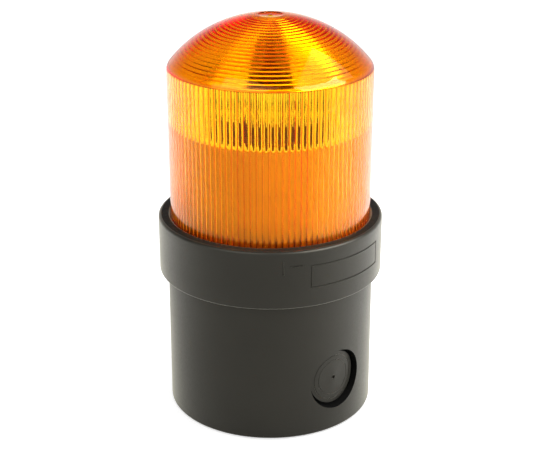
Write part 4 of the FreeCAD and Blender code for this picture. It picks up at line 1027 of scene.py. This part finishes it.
chassis_moulding, tree, shader = grained("chassis_moulding", (0.35, 0.5))
dish = clouds(tree, (0.92, 0.91, 0.87), (0.95, 0.945, 0.92))
# painted shade: the drum's side, white moulding like the dish, is painted a darker orange for its
# shade beside the top-lit dish
drum_painted_shade = clouds(tree, (0.79, 0.36, 0.19), (0.85, 0.41, 0.23))
# painted shadow: below DRUM_FOOT the drum is painted dark red, for the collar's shadow on its foot
foot_painted_shadow = clouds(tree, (0.36, 0.075, 0.03), (0.42, 0.09, 0.036))
tone = change_tone(tree, past_limit(tree, "radius", DRUM_WALL, TONE_EDGE), dish, drum_painted_shade)
tone = change_tone(tree, past_limit(tree, "height", DRUM_FOOT, FOOT_EDGE), foot_painted_shadow, tone)
tree.links.new(tone, shader.inputs["Base Color"])

socket_moulding, tree, shader = grained("socket_moulding", (0.5, 0.65), specular=0.05)
side = clouds(tree, (0.075, 0.01, 0.003), (0.1, 0.014, 0.004))
# painted highlight: the black socket's top is painted pale, as if lit from above
top = clouds(tree, (0.45, 0.34, 0.26), (0.55, 0.42, 0.33))
tone = change_tone(tree, past_limit(tree, "height", SOCKET_TOP, TONE_EDGE), side, top)
tree.links.new(tone, shader.inputs["Base Color"])
print("finishes:", chassis_moulding.name, socket_moulding.name)

# %% [markdown]
# ### The other pieces inside
#
# Terminals, contacts and some screws show once the head is off, and the rest only when it is taken
# apart. Each could have nodes of its own, but at this size a moulding and a metal differ mainly in
# tone, gloss and grain, so one recipe with other values makes them all.

# %% Finishes of the other pieces inside
metal = {"metallic": 1.0}
wire = {"grain": 700, "bump": 0.6, "metallic": 1.0}
plain = {
    "grey_insulator": ((0.32, 0.32, 0.3), (0.38, 0.38, 0.36), (0.45, 0.6), {}),
    "seal_rubber": ((0.012, 0.012, 0.012), (0.022, 0.022, 0.021), (0.6, 0.8), {}),
    "contact_brass": ((0.7, 0.46, 0.17), (0.8, 0.56, 0.24), (0.22, 0.4), metal),
    "screw_steel": ((0.5, 0.5, 0.5), (0.62, 0.62, 0.63), (0.25, 0.4), metal),
    "circuit_board": ((0.02, 0.12, 0.04), (0.03, 0.16, 0.06), (0.25, 0.4), {}),
    "capacitor_can": ((0.03, 0.035, 0.07), (0.05, 0.055, 0.1), (0.25, 0.4), {}),
    "ferrite": ((0.05, 0.05, 0.055), (0.09, 0.09, 0.095), (0.55, 0.75), {}),
    "copper_winding": ((0.5, 0.2, 0.07), (0.62, 0.28, 0.1), (0.3, 0.45), wire),
    "component_black": ((0.015, 0.015, 0.016), (0.03, 0.03, 0.032), (0.4, 0.6), {}),
    "resistor_coat": ((0.35, 0.27, 0.15), (0.45, 0.36, 0.22), (0.3, 0.45), {}),
    "electrode_metal": ((0.1, 0.1, 0.105), (0.16, 0.16, 0.165), (0.25, 0.4), metal),
}
finishes = {
    "black_moulding": black_moulding,
    "amber_lens": amber_lens,
    "tube_glass": tube_glass,
    "black_insulator": socket_moulding,
    "white_moulding": chassis_moulding,
}
for name, (low, high, rough, special) in plain.items():
    finishes[name] = moulded(name, low, high, rough, **special)
print("finishes:", len(finishes))

# %% [markdown]
# ## Dressing
#
# Every CAD node gets the finish of its own material slot. The three new pieces take the places of
# their nodes and ride the same bodies, so they follow the bayonet when the head turns and lifts. The
# faces that were kept take a second slot, a duller finish that paints shade on the groove and on the
# collar's top. The top lamp can be linked only now that there is a lens to link it to.

# %% Dress every node and piece
slot_of = {part["node"]: part["material_slot"] for part in frame["record"]["subparts"]}
for name, node in nodes.items():
    for slot in node.material_slots:
        slot.material = finishes[slot_of[name]]
# matt is that second finish: painted shade for the groove and the collar's top, none for the lens
for piece, node, body, matt, faces in (
    (base, "base_housing", "base", groove_painted_shade, groove_shade_faces),
    (collar, "locking_collar", "head", top_painted_shade, top_shade_faces),
    (lens, "lens", "head", None, []),
):
    piece.data.materials.clear()
    piece.data.materials.append(finishes[slot_of[node]])
    if matt:
        piece.data.materials.append(matt)
    for index in faces:
        piece.data.polygons[index].material_index = 1
    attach(piece, body)
    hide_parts(node)
light_only(top_lamp, lens)
